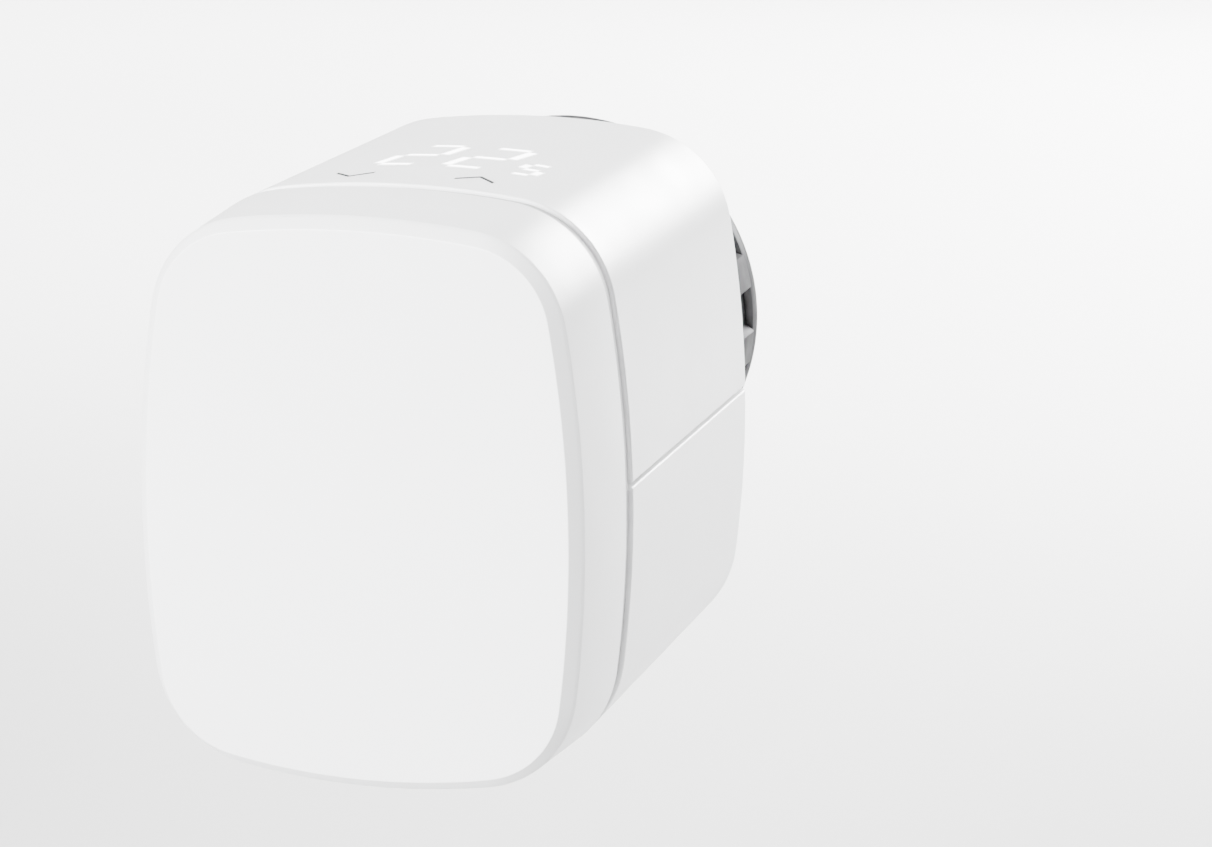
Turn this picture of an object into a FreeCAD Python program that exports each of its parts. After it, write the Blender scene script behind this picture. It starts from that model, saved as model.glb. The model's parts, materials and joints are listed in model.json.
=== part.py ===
"""Electronic thermostatic radiator valve head, one STEP file per node, millimetres.

Origin on the valve axis at the plane where the head seats on the valve.
+X right seen from the room, +Y towards the valve, +Z up.
"""

import FreeCAD, Part
import math
import os

from FreeCAD import Vector

# Outer body
FRONT_Y = -71.0
BODY_DEPTH = 67.45
REAR_Y = FRONT_Y + BODY_DEPTH
BODY_Z = -6.5
HALF_W = 27.0
HALF_H = 33.5
SIDE_R = 145.15
SIDE_DROP = 2.575
TOP_R = 107.3
BOTTOM_R = 84.0
TOP_CORNER_R = 12.95
BOTTOM_CORNER_R = 13.4
FACE_INSET = 2.205
FACE_CORNER_TRIM = 0.95
BEVEL_INSET = 0.858
BEVEL_Y = FRONT_Y + 1.68
RING_REAR_Y = FRONT_Y + 14.55
SHELL_FRONT_Y = FRONT_Y + 17.05
RING_ROUND = 0.25
SHELL_ROUND = 0.3
BAND_INSET = 0.5
BAND_Y = (RING_REAR_Y + 0.05, SHELL_FRONT_Y - 0.15)
REAR_ROUND = 1.8
ROUND_STEPS = 5
SEAM_BEVEL = 0.35
SEAM_Z = BODY_Z + 0.47
SEAM_HALF = 0.25
WALL = 2.0
REAR_WALL = 1.6
REAR_IN_Y = REAR_Y - REAR_WALL
RUN_GAP = 0.3
PANEL_RIM = (3.4, 4.6)
PANEL_RIM_T = 1.4
RING_FRONT_GAP = 0.06
RING_LIP = 0.25
RING_LIP_STEP = 0.02
RING_FLOOR_T = 1.5
WINDOW_INSET = 3.3
TONGUE_INSET = (WALL + RUN_GAP, WALL + 1.2)
TONGUE_Z = (SEAM_Z - 1.5, SEAM_Z + 2.0)
BRIDGE_Z = (SEAM_Z + 0.8, SEAM_Z + 2.0)
SKIN_T = 1.0
BOSS_R = 1.7
BOSS_TOP_Z = 25.6
BOSS_HOLE_Z = 24.2
RIB_T = 1.0
RIB_FRONT_Y = -26.0
RIB_LOW_Z = 22.2
RIB_INSET = 4.0
RIB_XS = (-14.0, 0.0, 14.0)
THUMB_GROOVES = 4
THUMB_GROOVE_X = 9.0
THUMB_GROOVE_Y = -14.0
THUMB_GROOVE_PITCH = 2.4
THUMB_GROOVE_W = 1.2
THUMB_GROOVE_TOP_Z = -39.35
HOOK_X = (23.6, 25.6)
HOOK_Y = (-34.0, -30.0)
HOOK_Z = (-27.0, -25.0)
RUN_OUT = 1.0
CLEAR = 40.0
FAR_Z = 60.0
THROUGH_Y = (-60.0, 0.0)

# Mount and coupling
NOSE_R = 10.5
NOSE_DEPTH = 14.0
NOSE_RELIEF = 0.3
NECK_R = 12.6
NECK_FLANGE_R = 14.6
NECK_FLANGE_T = 1.5
NECK_HOLE_R = 13.4
NUT_FRONT_Y = -3.2
NUT_LIP_Y = -1.6
NUT_LIP_R = 12.95
NUT_RELIEF_R = 15.6
NUT_BORE_R = 15.05
NUT_BORE_END_Y = 8.4
NUT_REAR_Y = 9.0
NUT_R = 18.0
GRIP_R = 25.2
GRIP_VALLEY_R = 23.9
GRIP_RIBS = 16
GRIP_PHASE = math.radians(15.0)
GRIP_FRONT_Y = NUT_FRONT_Y + 0.2
GRIP_RIB_TOP = 0.20
GRIP_RIB_FOOT = 0.30
COLLAR_Y = 6.4
COLLAR_R = 24.9
COLLAR_CHAMFER = 0.5
COLLAR_RECESS_R = (19.6, 21.0)
COLLAR_RECESS_Y = 2.0
PIN_R = 0.8
PIN_LENGTH = 3.2
PIN_START_R = 11.4
PIN_Y = -12.5
PIN_ANGLES = (90.0, 210.0, 330.0)
PLUNGER_Y = (-36.0, -16.9)
FOOT_R = 6.0
FOOT_REAR_Y = -16.1
WING_X = 11.5
WING_HALF_T = 1.0
TIP_R = 4.6
TIP_REAR_Y = -15.6
GUIDE_X = 11.8
GUIDE_HALF_T = 1.3
GUIDE_REAR_Y = -9.5

# Gear train
MODULE = 0.5
PRESSURE = math.radians(25.0)
BACKLASH = 0.10
DRIVE_TEETH = 48
WHEEL_2_TEETH = 36
WHEEL_1_TEETH = 30
PINION_TEETH = 12
IDLER_2_DIR = math.radians(160.0)
IDLER_1_DIR = math.radians(111.34)
IDLER_1_REACH = 14.0
MOTOR_DIR = math.radians(-10.0)
LAYER_A = (-29.4, -26.8)
LAYER_B = (-26.3, -23.4)
LAYER_C = (-22.9, -18.9)
FRONT_PLATE = (-31.4, -29.8)
REAR_PLATE = (-18.6, -17.2)
AXLE_R = 0.75
BORE_GAP = 0.05
JOURNAL_R = 3.9
HUB_R = 4.4
SCREW_R = 3.0
THREAD_GAP = 0.08
GEARBOX_X = (-21.9, 16.0)
GEARBOX_Z = (-13.6, 21.2)
GEARBOX_POSTS = [(-18.6, -10.2), (12.8, -10.3), (12.9, 17.5), (-17.4, 18.0)]

# Motor
MOTOR_R = 7.75
MOTOR_WALL = 0.7
MOTOR_FRONT_Y = -52.0
SHAFT_R = 1.0
CAN_FLOOR_T = 1.0
CAP_T = 1.8
CAP_BOSS_T = 3.0
TERMINAL_X = 4.6
TERMINAL_HALF_T = 0.2
TERMINAL_HALF_W = 0.9
TERMINAL_FRONT_Y = -56.4
LEAD_R = 0.45
MOTOR_SCREW_REACH = 5.0
MAGNET_R = 5.9
MAGNET_Y = (-47.6, -35.0)
CORE_Y = (-46.6, -36.0)
POLE_HALF_W = 0.8
COIL_HALF_W = 1.6

# Batteries
CELL_R = 7.25
CELL_X = 8.2
CELL_Z = -28.0
CELL_FRONT_Y = -57.6
CELL_LENGTH = 50.5
NUB_R = 2.75
NUB_LENGTH = 1.4
CONTACT_T = 0.3

# Boards
BOARD_Y = (-67.0, -65.8)
BULKHEAD_Y = (-62.6, -61.4)
RIM_END_Y = -54.2
DISPLAY_Z = (21.6, 22.6)
DISPLAY_X = 17.5
DISPLAY_Y = (-54.0, -28.6)
DIGITS = [(-7.1, -41.8, 5.8, 12.6), (1.2, -41.8, 5.8, 12.6), (8.8, -42.1, 3.3, 5.6)]
TOUCH_PADS = [(-8.1, -48.6), (6.9, -48.4)]
SCREW_HEAD_R = 1.6
SCREW_SHANK_R = 0.8
SLOT_HALF_L = 1.1
SLOT_HALF_W = 0.2
SLOT_DEPTH = 0.5


def rod(x, z, radius, y0, y1):
    return Part.makeCylinder(radius, y1 - y0, Vector(x, y0, z), Vector(0, 1, 0))


def tube(x, z, outer, inner, y0, y1):
    return rod(x, z, outer, y0, y1).cut(rod(x, z, inner, y0, y1))


def box(x0, x1, y0, y1, z0, z1):
    return Part.makeBox(x1 - x0, y1 - y0, z1 - z0, Vector(x0, y0, z0))


def pin(x, y, radius, z0, z1):
    return Part.makeCylinder(radius, z1 - z0, Vector(x, y, z0), Vector(0, 0, 1))


def fuse(shapes):
    return shapes[0].multiFuse(shapes[1:]).removeSplitter()


def polygon_prism(points, y0, y1):
    corners = [Vector(x, y0, z) for x, z in points]
    wire = Part.makePolygon(corners + corners[:1])
    return Part.Face(wire).extrude(Vector(0, y1 - y0, 0))


# Body outline


def corner_centre(cap_z, cap_r, radius):
    """Centre of the right-hand corner arc tangent inside the side arc and the cap arc."""
    side_x = HALF_W - SIDE_R
    side_z = -SIDE_DROP
    reach_side = SIDE_R - radius
    reach_cap = cap_r - radius
    dx = -side_x
    dz = cap_z - side_z
    span = math.hypot(dx, dz)
    along = (reach_side**2 - reach_cap**2 + span**2) / (2.0 * span)
    across = math.sqrt(reach_side**2 - along**2)
    base_x = side_x + along * dx / span
    base_z = side_z + along * dz / span
    first = (base_x + across * dz / span, base_z - across * dx / span)
    second = (base_x - across * dz / span, base_z + across * dx / span)
    return max(first, second)


def towards(origin, target, distance):
    dx = target[0] - origin[0]
    dz = target[1] - origin[1]
    span = math.hypot(dx, dz)
    return (origin[0] + dx * distance / span, origin[1] + dz * distance / span)


def outline(y, inset, trim=0.0):
    """Closed wire of eight tangent arcs at depth y, every arc moved in by inset."""
    side = (HALF_W - SIDE_R, -SIDE_DROP)
    right = []
    for sign, cap_r, corner_r in ((1, TOP_R, TOP_CORNER_R), (-1, BOTTOM_R, BOTTOM_CORNER_R)):
        cap = (0.0, sign * (HALF_H - cap_r))
        radius = corner_r - trim
        centre = corner_centre(cap[1], cap_r, radius)
        on_cap = towards(cap, centre, cap_r - inset)
        on_side = towards(side, centre, SIDE_R - inset)
        chord = ((on_cap[0] + on_side[0]) / 2.0, (on_cap[1] + on_side[1]) / 2.0)
        middle = towards(centre, chord, radius - inset)
        right.append((on_cap, middle, on_side))
    top, bottom = right
    widest = (HALF_W - inset, -SIDE_DROP)
    crown = (0.0, HALF_H - inset)
    keel = (0.0, inset - HALF_H)

    def left(point):
        return (-point[0], point[1])

    arcs = [
        (left(top[0]), crown, top[0]),
        top,
        (top[2], widest, bottom[2]),
        (bottom[2], bottom[1], bottom[0]),
        (bottom[0], keel, left(bottom[0])),
        (left(bottom[0]), left(bottom[1]), left(bottom[2])),
        (left(bottom[2]), left(widest), left(top[2])),
        (left(top[2]), left(top[1]), left(top[0])),
    ]
    edges = []
    for arc in arcs:
        a, b, c = [Vector(x, y, BODY_Z + z) for x, z in arc]
        edges.append(Part.Arc(a, b, c).toShape())
    return Part.Wire(edges)


def band(y0, inset0, y1, inset1, trim0=0.0):
    return Part.makeLoft([outline(y0, inset0, trim0), outline(y1, inset1)], True, True)


def prism(inset, y0, y1):
    return Part.Face(outline(y0, inset)).extrude(Vector(0, y1 - y0, 0))


def rolled_edge(y_flat, radius, way):
    """Edge of the body rolled over in steps along a quarter circle, towards -Y or +Y."""
    slices = []
    previous = (y_flat, 0.0)
    for step in range(1, ROUND_STEPS + 1):
        angle = math.pi / 2.0 * step / ROUND_STEPS
        current = (y_flat + way * radius * math.sin(angle), radius * (1.0 - math.cos(angle)))
        near, far = sorted((previous, current))
        slices.append(band(near[0], near[1], far[0], far[1]))
        previous = current
    return slices


# Shells


def front_panel():
    plate = band(FRONT_Y, FACE_INSET, BEVEL_Y, BEVEL_INSET, FACE_CORNER_TRIM)
    rim_end = BEVEL_Y + PANEL_RIM_T
    rim = prism(PANEL_RIM[0], BEVEL_Y, rim_end).cut(prism(PANEL_RIM[1], BEVEL_Y, rim_end))
    return fuse([plate, rim])


def front_ring():
    front = BEVEL_Y + RING_FRONT_GAP
    lip_end = front + RING_LIP
    lip_inset = BEVEL_INSET - RING_LIP_STEP
    rear = RING_REAR_Y
    outer = fuse([
        band(front, BEVEL_INSET + RING_LIP, lip_end, lip_inset),
        band(lip_end, lip_inset, rear - RING_ROUND, 0.0),
    ] + rolled_edge(rear - RING_ROUND, RING_ROUND, 1))
    hollow = prism(WALL, front + RING_FLOOR_T, rear)
    window = prism(WINDOW_INSET, front, front + RING_FLOOR_T)
    return outer.cut(hollow).cut(window)


def rear_body():
    front = SHELL_FRONT_Y
    flat = prism(0.0, front + SHELL_ROUND, REAR_Y - REAR_ROUND)
    front_edge = rolled_edge(front + SHELL_ROUND, SHELL_ROUND, -1)
    rear_edge = rolled_edge(REAR_Y - REAR_ROUND, REAR_ROUND, 1)
    outer = fuse([flat] + front_edge + rear_edge)
    return outer.cut(prism(WALL, front, REAR_IN_Y))


def seam_bevel(sign):
    """Long prisms that break the two side edges along the seam."""
    edge_z = SEAM_Z + sign * SEAM_HALF
    size = SEAM_BEVEL
    wedges = []
    for side in (-1, 1):
        x = side * HALF_W
        points = [
            (x + side * RUN_OUT, edge_z - sign * RUN_OUT),
            (x - side * size, edge_z - sign * RUN_OUT),
            (x - side * size, edge_z),
            (x, edge_z + sign * size),
            (x + side * RUN_OUT, edge_z + sign * size),
        ]
        wedges.append(polygon_prism(points, SHELL_FRONT_Y - RUN_OUT, REAR_Y + RUN_OUT))
    return wedges


def upper_housing():
    keep = box(-CLEAR, CLEAR, FRONT_Y, 0, SEAM_Z + SEAM_HALF, FAR_Z)
    shell = rear_body().common(keep)
    start = RIM_END_Y + 0.2
    end = REAR_IN_Y - RUN_GAP
    tongue = prism(TONGUE_INSET[0], start, end).cut(prism(TONGUE_INSET[1], start, end))
    tongue = tongue.common(box(-CLEAR, CLEAR, FRONT_Y, 0, TONGUE_Z[0], TONGUE_Z[1]))
    bridge = prism(WALL, start, end).cut(prism(TONGUE_INSET[0], start, end))
    bridge = bridge.common(box(-CLEAR, CLEAR, FRONT_Y, 0, BRIDGE_Z[0], BRIDGE_Z[1]))
    inside_skin = prism(SKIN_T, SHELL_FRONT_Y, REAR_Y)
    bosses = [pin(x, y, BOSS_R, DISPLAY_Z[1], BOSS_TOP_Z) for x, y in display_screw_points()]
    bosses = [boss.common(inside_skin) for boss in bosses]
    half = RIB_T / 2.0
    ribs = [box(x - half, x + half, RIB_FRONT_Y, REAR_IN_Y, RIB_LOW_Z, BOSS_TOP_Z) for x in RIB_XS]
    ribs = [rib.common(inside_skin).cut(prism(RIB_INSET, SHELL_FRONT_Y, REAR_Y)) for rib in ribs]
    body = fuse([shell, tongue, bridge] + bosses + ribs)
    body = body.cut(rod(0, 0, NECK_HOLE_R, REAR_IN_Y - RUN_OUT, 0))
    for x, y in display_screw_points():
        body = body.cut(pin(x, y, SCREW_SHANK_R, DISPLAY_Z[1], BOSS_HOLE_Z))
    for wedge in seam_bevel(1):
        body = body.cut(wedge)
    return body


def battery_cover():
    keep = box(-CLEAR, CLEAR, FRONT_Y, 0, -FAR_Z, SEAM_Z - SEAM_HALF)
    body = rear_body().common(keep)
    body = body.cut(rod(0, 0, NECK_HOLE_R, REAR_IN_Y - RUN_OUT, 0))
    for index in range(THUMB_GROOVES):
        y = THUMB_GROOVE_Y - THUMB_GROOVE_PITCH * index
        groove = box(-THUMB_GROOVE_X, THUMB_GROOVE_X, y, y + THUMB_GROOVE_W, -FAR_Z, THUMB_GROOVE_TOP_Z)
        body = body.cut(groove)
    hooks = []
    for x0, x1 in ((-HOOK_X[1], -HOOK_X[0]), HOOK_X):
        hook = box(x0, x1, HOOK_Y[0], HOOK_Y[1], HOOK_Z[0], HOOK_Z[1])
        hooks.append(hook.common(prism(SKIN_T, SHELL_FRONT_Y, REAR_Y)))
    body = fuse([body] + hooks)
    for wedge in seam_bevel(-1):
        body = body.cut(wedge)
    return body


# Frame, tray and power


def chassis():
    inset = WALL + 0.3
    rim = prism(inset, BULKHEAD_Y[0], RIM_END_Y).cut(prism(inset + 1.5, BULKHEAD_Y[0], RIM_END_Y))
    rim = rim.cut(box(-17.2, 17.2, -60.2, -50.0, -60, -20))
    accent = prism(BAND_INSET, BAND_Y[0], BAND_Y[1]).cut(prism(inset + 1.5, BAND_Y[0], BAND_Y[1]))
    bulkhead = prism(inset, BULKHEAD_Y[0], BULKHEAD_Y[1])
    deck = box(-23.6, 23.6, BULKHEAD_Y[1], -6.6, -16.6, -15.2)
    deck = deck.cut(box(-10.0, 10.0, -20.0, 0.0, -20.0, -10.0))
    rails = [box(x, x + 1.4, BULKHEAD_Y[1], -6.6, -15.2, -9.0) for x in (-23.6, 22.2)]
    posts = [rod(x, z, 2.2, BOARD_Y[1], BULKHEAD_Y[0]) for x, z in board_screw_points()]
    brackets = [box(x0, x1, -34.0, FRONT_PLATE[0], -15.2, -8.0) for x0, x1 in ((-20.6, -16.6), (10.8, 14.8))]
    body = fuse([rim, accent, bulkhead, deck] + rails + posts + brackets)
    for x, z in board_screw_points():
        body = body.cut(rod(x, z, SCREW_SHANK_R, BOARD_Y[1], BULKHEAD_Y[1]))
    for x, z in GEARBOX_POSTS[:2]:
        body = body.cut(rod(x, z, SCREW_SHANK_R, -40.0, FRONT_PLATE[0]))
    windows = [
        box(-7.0, 7.0, BULKHEAD_Y[0], BULKHEAD_Y[1], 17.6, 21.9),
        box(0.0, 11.0, BULKHEAD_Y[0], BULKHEAD_Y[1], 9.0, 13.4),
        box(-11.0, -5.0, BULKHEAD_Y[0], BULKHEAD_Y[1], -25.0, -21.6),
        box(16.6, 17.8, BULKHEAD_Y[0], BULKHEAD_Y[1], -28.6, -23.4),
    ]
    for window in windows:
        body = body.cut(window)
    return body


def battery_tray():
    body = box(-16.6, 16.6, -61.3, -5.6, -31.0, -16.7)
    for x in (-CELL_X, CELL_X):
        body = body.cut(rod(x, CELL_Z, CELL_R + 0.35, -60.3, -6.8))
        body = body.cut(box(x - 7.6, x + 7.6, -60.3, -6.8, -60, CELL_Z))
    body = body.cut(box(-0.35, 0.35, -60.3, -6.8, -32.0, -19.0))
    body = body.cut(box(-11.0, -5.0, -61.3, -60.3, -25.0, -21.6))
    body = body.cut(box(CELL_X, 20.0, -7.1, -6.8, -29.0, -25.0))
    return body.cut(series_strap())


def cell(x):
    rear = CELL_FRONT_Y + CELL_LENGTH
    can = rod(x, CELL_Z, CELL_R, CELL_FRONT_Y + 0.4, rear - NUB_LENGTH)
    base = rod(x, CELL_Z, CELL_R - 0.9, CELL_FRONT_Y, CELL_FRONT_Y + 0.4)
    nub = rod(x, CELL_Z, NUB_R, rear - NUB_LENGTH, rear)
    return fuse([can, base, nub])


def spring_contacts():
    shapes = []
    for x in (-CELL_X, CELL_X):
        plate = box(x - 3.6, x + 3.6, -60.3, -60.0, CELL_Z - 3.4, CELL_Z + 4.2)
        cone = Part.makeCone(3.3, 2.4, 2.4, Vector(x, -60.0, CELL_Z), Vector(0, 1, 0))
        core = Part.makeCone(2.7, 1.8, 2.4, Vector(x, -60.0, CELL_Z), Vector(0, 1, 0))
        shapes.append(fuse([plate, cone.cut(core)]))
    return Part.makeCompound(shapes)


def series_strap():
    rear_tab = box(-CELL_X - 3.0, 0.2, -7.1, -6.8, CELL_Z - 3.0, CELL_Z + 4.0)
    strap = box(-0.2, 0.2, -60.3, -6.8, CELL_Z + 1.0, CELL_Z + 4.0)
    front_tab = box(0.2, CELL_X - 3.6, -60.3, -60.0, CELL_Z + 1.0, CELL_Z + 4.0)
    return fuse([rear_tab, strap, front_tab])


def positive_busbar():
    tab = box(CELL_X - 3.0, 17.3, -7.1, -6.8, CELL_Z - 1.5, CELL_Z + 1.5)
    bar = box(16.9, 17.3, -65.8, -6.8, CELL_Z, CELL_Z + 3.0)
    tab = tab.common(box(-20, 20, -10, 0, CELL_Z - 1.0, CELL_Z + 3.0))
    return fuse([tab, bar])


def negative_lead():
    return rod(-CELL_X, CELL_Z + 4.6, 0.5, BOARD_Y[1], -60.3).fuse(
        box(-CELL_X - 0.5, -CELL_X + 0.5, -60.6, -60.3, CELL_Z + 3.0, CELL_Z + 4.6)
    ).removeSplitter()


# Gears


def involute(base_r, radius):
    ratio = max(radius / base_r, 1.0)
    pressure = math.acos(1.0 / ratio)
    return math.tan(pressure) - pressure


def gear_profile(teeth, phase):
    pitch_r = MODULE * teeth / 2.0
    base_r = pitch_r * math.cos(PRESSURE)
    tip_r = pitch_r + MODULE
    root_r = pitch_r - 1.25 * MODULE
    half_pitch = (math.pi * MODULE - BACKLASH) / 2.0 / (2.0 * pitch_r)
    inv_pitch = involute(base_r, pitch_r)
    radii = [max(base_r, root_r), pitch_r, (pitch_r + tip_r) / 2.0, tip_r]
    points = []
    for tooth in range(teeth):
        centre = phase + 2.0 * math.pi * tooth / teeth
        widths = [half_pitch + inv_pitch - involute(base_r, radius) for radius in radii]
        rising = [(root_r, -widths[0])] + [(r, -w) for r, w in zip(radii, widths)]
        falling = [(r, w) for r, w in zip(reversed(radii), reversed(widths))] + [(root_r, widths[0])]
        for radius, angle in rising + falling:
            points.append((radius * math.cos(centre + angle), radius * math.sin(centre + angle)))
    clean = [points[0]]
    for point in points[1:]:
        if math.dist(point, clean[-1]) > 1e-4:
            clean.append(point)
    return clean


def gear(x, z, teeth, phase, layer):
    points = [(x + px, z + pz) for px, pz in gear_profile(teeth, phase)]
    return polygon_prism(points, layer[0], layer[1])


def mesh_phase(teeth_a, phase_a, direction, teeth_b):
    """Phase of gear b so that one of its gaps faces a tooth of gear a."""
    turns = (direction - phase_a) * teeth_a / (2.0 * math.pi)
    return direction + math.pi - (0.5 - turns) * 2.0 * math.pi / teeth_b


def polar(origin, distance, direction):
    return (origin[0] + distance * math.cos(direction), origin[1] + distance * math.sin(direction))


def centre_distance(teeth_a, teeth_b):
    return MODULE * (teeth_a + teeth_b) / 2.0


def train():
    """Axes, directions and tooth phases of the whole gear train."""
    drive = (0.0, 0.0)
    idler_2 = polar(drive, centre_distance(DRIVE_TEETH, PINION_TEETH), IDLER_2_DIR)
    idler_1 = polar(drive, IDLER_1_REACH, IDLER_1_DIR)
    to_idler_1 = math.atan2(idler_1[1] - idler_2[1], idler_1[0] - idler_2[0])
    idler_1 = polar(idler_2, centre_distance(WHEEL_2_TEETH, PINION_TEETH), to_idler_1)
    motor = polar(idler_1, centre_distance(WHEEL_1_TEETH, PINION_TEETH), MOTOR_DIR)
    pinion_2 = mesh_phase(DRIVE_TEETH, 0.0, IDLER_2_DIR, PINION_TEETH)
    pinion_1 = mesh_phase(WHEEL_2_TEETH, pinion_2, to_idler_1, PINION_TEETH)
    motor_phase = mesh_phase(WHEEL_1_TEETH, pinion_1, MOTOR_DIR, PINION_TEETH)
    return {
        "idler_2": idler_2,
        "idler_1": idler_1,
        "motor": motor,
        "pinion_2": pinion_2,
        "pinion_1": pinion_1,
        "motor_phase": motor_phase,
    }


def drive_wheel():
    rim = gear(0, 0, DRIVE_TEETH, 0.0, LAYER_C)
    rim = rim.cut(tube(0, 0, 10.0, 5.6, LAYER_C[0], LAYER_C[0] + 1.2))
    rim = rim.cut(tube(0, 0, 10.0, 5.6, LAYER_C[1] - 1.2, LAYER_C[1]))
    hub = rod(0, 0, HUB_R, LAYER_A[0] - 0.1, LAYER_C[1])
    journal = rod(0, 0, JOURNAL_R, FRONT_PLATE[0] + 0.2, REAR_PLATE[1] - 0.2)
    bore = rod(0, 0, SCREW_R + THREAD_GAP, THROUGH_Y[0], THROUGH_Y[1])
    return fuse([rim, hub, journal]).cut(bore)


def idler_gear(axis, wheel_teeth, phase, wheel_layer, pinion_layer, ends):
    x, z = axis
    wheel = gear(x, z, wheel_teeth, phase, wheel_layer)
    web_in = 2.9
    web_out = MODULE * wheel_teeth / 2.0 - 1.7
    wheel = wheel.cut(tube(x, z, web_out, web_in, wheel_layer[0], wheel_layer[0] + 0.7))
    pinion = gear(x, z, PINION_TEETH, phase, pinion_layer)
    hub = rod(x, z, 1.5, ends[0], ends[1])
    return fuse([wheel, pinion, hub]).cut(rod(x, z, AXLE_R + BORE_GAP, THROUGH_Y[0], THROUGH_Y[1]))


def gearbox_plate(layer):
    x0, x1 = GEARBOX_X
    z0, z1 = GEARBOX_Z
    plate = box(x0, x1, layer[0], layer[1], z0, z1)
    edges = [edge for edge in plate.Edges if abs(edge.tangentAt(edge.FirstParameter).y) > 0.99]
    return plate.makeFillet(6.0, edges)


def gearbox_front_plate():
    layout = train()
    body = gearbox_plate(FRONT_PLATE)
    posts = [rod(x, z, 2.0, FRONT_PLATE[1], REAR_PLATE[0]) for x, z in GEARBOX_POSTS]
    body = fuse([body] + posts)
    body = body.cut(rod(0, 0, JOURNAL_R + BORE_GAP, THROUGH_Y[0], THROUGH_Y[1]))
    mx, mz = layout["motor"]
    body = body.cut(rod(mx, mz, 3.0, FRONT_PLATE[0], FRONT_PLATE[1]))
    for name in ("idler_1", "idler_2"):
        x, z = layout[name]
        body = body.cut(rod(x, z, AXLE_R, FRONT_PLATE[0], FRONT_PLATE[1]))
    for x, z in GEARBOX_POSTS:
        body = body.cut(rod(x, z, SCREW_SHANK_R, REAR_PLATE[0] - 6.0, REAR_PLATE[0]))
    for x, z in GEARBOX_POSTS[:2]:
        body = body.cut(rod(x, z, SCREW_SHANK_R, FRONT_PLATE[0], FRONT_PLATE[1] + 3.0))
    for side in (-1, 1):
        screw_z = mz + side * MOTOR_SCREW_REACH
        body = body.cut(rod(mx, screw_z, SCREW_SHANK_R, FRONT_PLATE[0], FRONT_PLATE[1]))
    return body


def gearbox_rear_cover():
    layout = train()
    body = gearbox_plate(REAR_PLATE)
    collar = tube(0, 0, NECK_FLANGE_R, NECK_R, REAR_PLATE[1], -9.0)
    body = fuse([body, collar]).cut(rod(0, 0, JOURNAL_R + BORE_GAP, THROUGH_Y[0], THROUGH_Y[1]))
    for name in ("idler_1", "idler_2"):
        x, z = layout[name]
        body = body.cut(rod(x, z, AXLE_R, REAR_PLATE[0], REAR_PLATE[1]))
    for x, z in GEARBOX_POSTS:
        body = body.cut(rod(x, z, SCREW_SHANK_R, REAR_PLATE[0], REAR_PLATE[1]))
    for locking_pin in pin_shapes():
        body = body.cut(locking_pin)
    return body


def axle(name):
    x, z = train()[name]
    return rod(x, z, AXLE_R, FRONT_PLATE[0], REAR_PLATE[1])


def thrust_washer():
    return tube(0, 0, 6.2, JOURNAL_R + BORE_GAP, FRONT_PLATE[1], FRONT_PLATE[1] + 0.25)


# Plunger and neck


def plunger():
    screw = rod(0, 0, SCREW_R, PLUNGER_Y[0], PLUNGER_Y[1])
    foot = rod(0, 0, FOOT_R, PLUNGER_Y[1], FOOT_REAR_Y)
    wings = box(-WING_X, WING_X, PLUNGER_Y[1], FOOT_REAR_Y, -WING_HALF_T, WING_HALF_T)
    return fuse([screw, foot, wings])


def plunger_tip():
    return rod(0, 0, TIP_R, FOOT_REAR_Y, TIP_REAR_Y)


def pin_shapes():
    shapes = []
    for degrees in PIN_ANGLES:
        angle = math.radians(degrees)
        way = Vector(math.cos(angle), 0, math.sin(angle))
        start = way * PIN_START_R + Vector(0, PIN_Y, 0)
        shapes.append(Part.makeCylinder(PIN_R, PIN_LENGTH, start, way))
    return shapes


def mounting_neck():
    body = rod(0, 0, NECK_R, REAR_PLATE[1], 0)
    flange = rod(0, 0, NECK_FLANGE_R, -NECK_FLANGE_T, 0)
    body = fuse([body, flange])
    body = body.cut(rod(0, 0, NOSE_R, -NOSE_DEPTH, 0))
    body = body.cut(rod(0, 0, NOSE_R + NOSE_RELIEF, REAR_PLATE[1], -NOSE_DEPTH))
    body = body.cut(box(-GUIDE_X, GUIDE_X, REAR_PLATE[1], GUIDE_REAR_Y, -GUIDE_HALF_T, GUIDE_HALF_T))
    for locking_pin in pin_shapes():
        body = body.cut(locking_pin)
    return body


def union_nut():
    body = rod(0, 0, NUT_R, NUT_FRONT_Y, NUT_REAR_Y)
    body = body.cut(rod(0, 0, NUT_LIP_R, NUT_FRONT_Y, NUT_LIP_Y))
    body = body.cut(rod(0, 0, NUT_RELIEF_R, NUT_LIP_Y, 0))
    body = body.cut(rod(0, 0, NUT_BORE_R, 0, NUT_BORE_END_Y))
    mouth = Part.makeCone(NUT_BORE_R, NUT_BORE_R + 0.6, NUT_REAR_Y - NUT_BORE_END_Y,
                          Vector(0, NUT_BORE_END_Y, 0), Vector(0, 1, 0))
    return body.cut(mouth)


def grip_profile():
    """Outline of the ribbed grip: flat-topped ribs with sloping flanks."""
    pitch = 2.0 * math.pi / GRIP_RIBS
    marks = [
        (-GRIP_RIB_FOOT, GRIP_VALLEY_R),
        (-GRIP_RIB_TOP, GRIP_R),
        (0.0, GRIP_R),
        (GRIP_RIB_TOP, GRIP_R),
        (GRIP_RIB_FOOT, GRIP_VALLEY_R),
        (0.5, GRIP_VALLEY_R),
    ]
    points = []
    for rib in range(GRIP_RIBS):
        for share, radius in marks:
            angle = GRIP_PHASE + (rib + share) * pitch
            points.append((radius * math.cos(angle), radius * math.sin(angle)))
    return points


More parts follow.
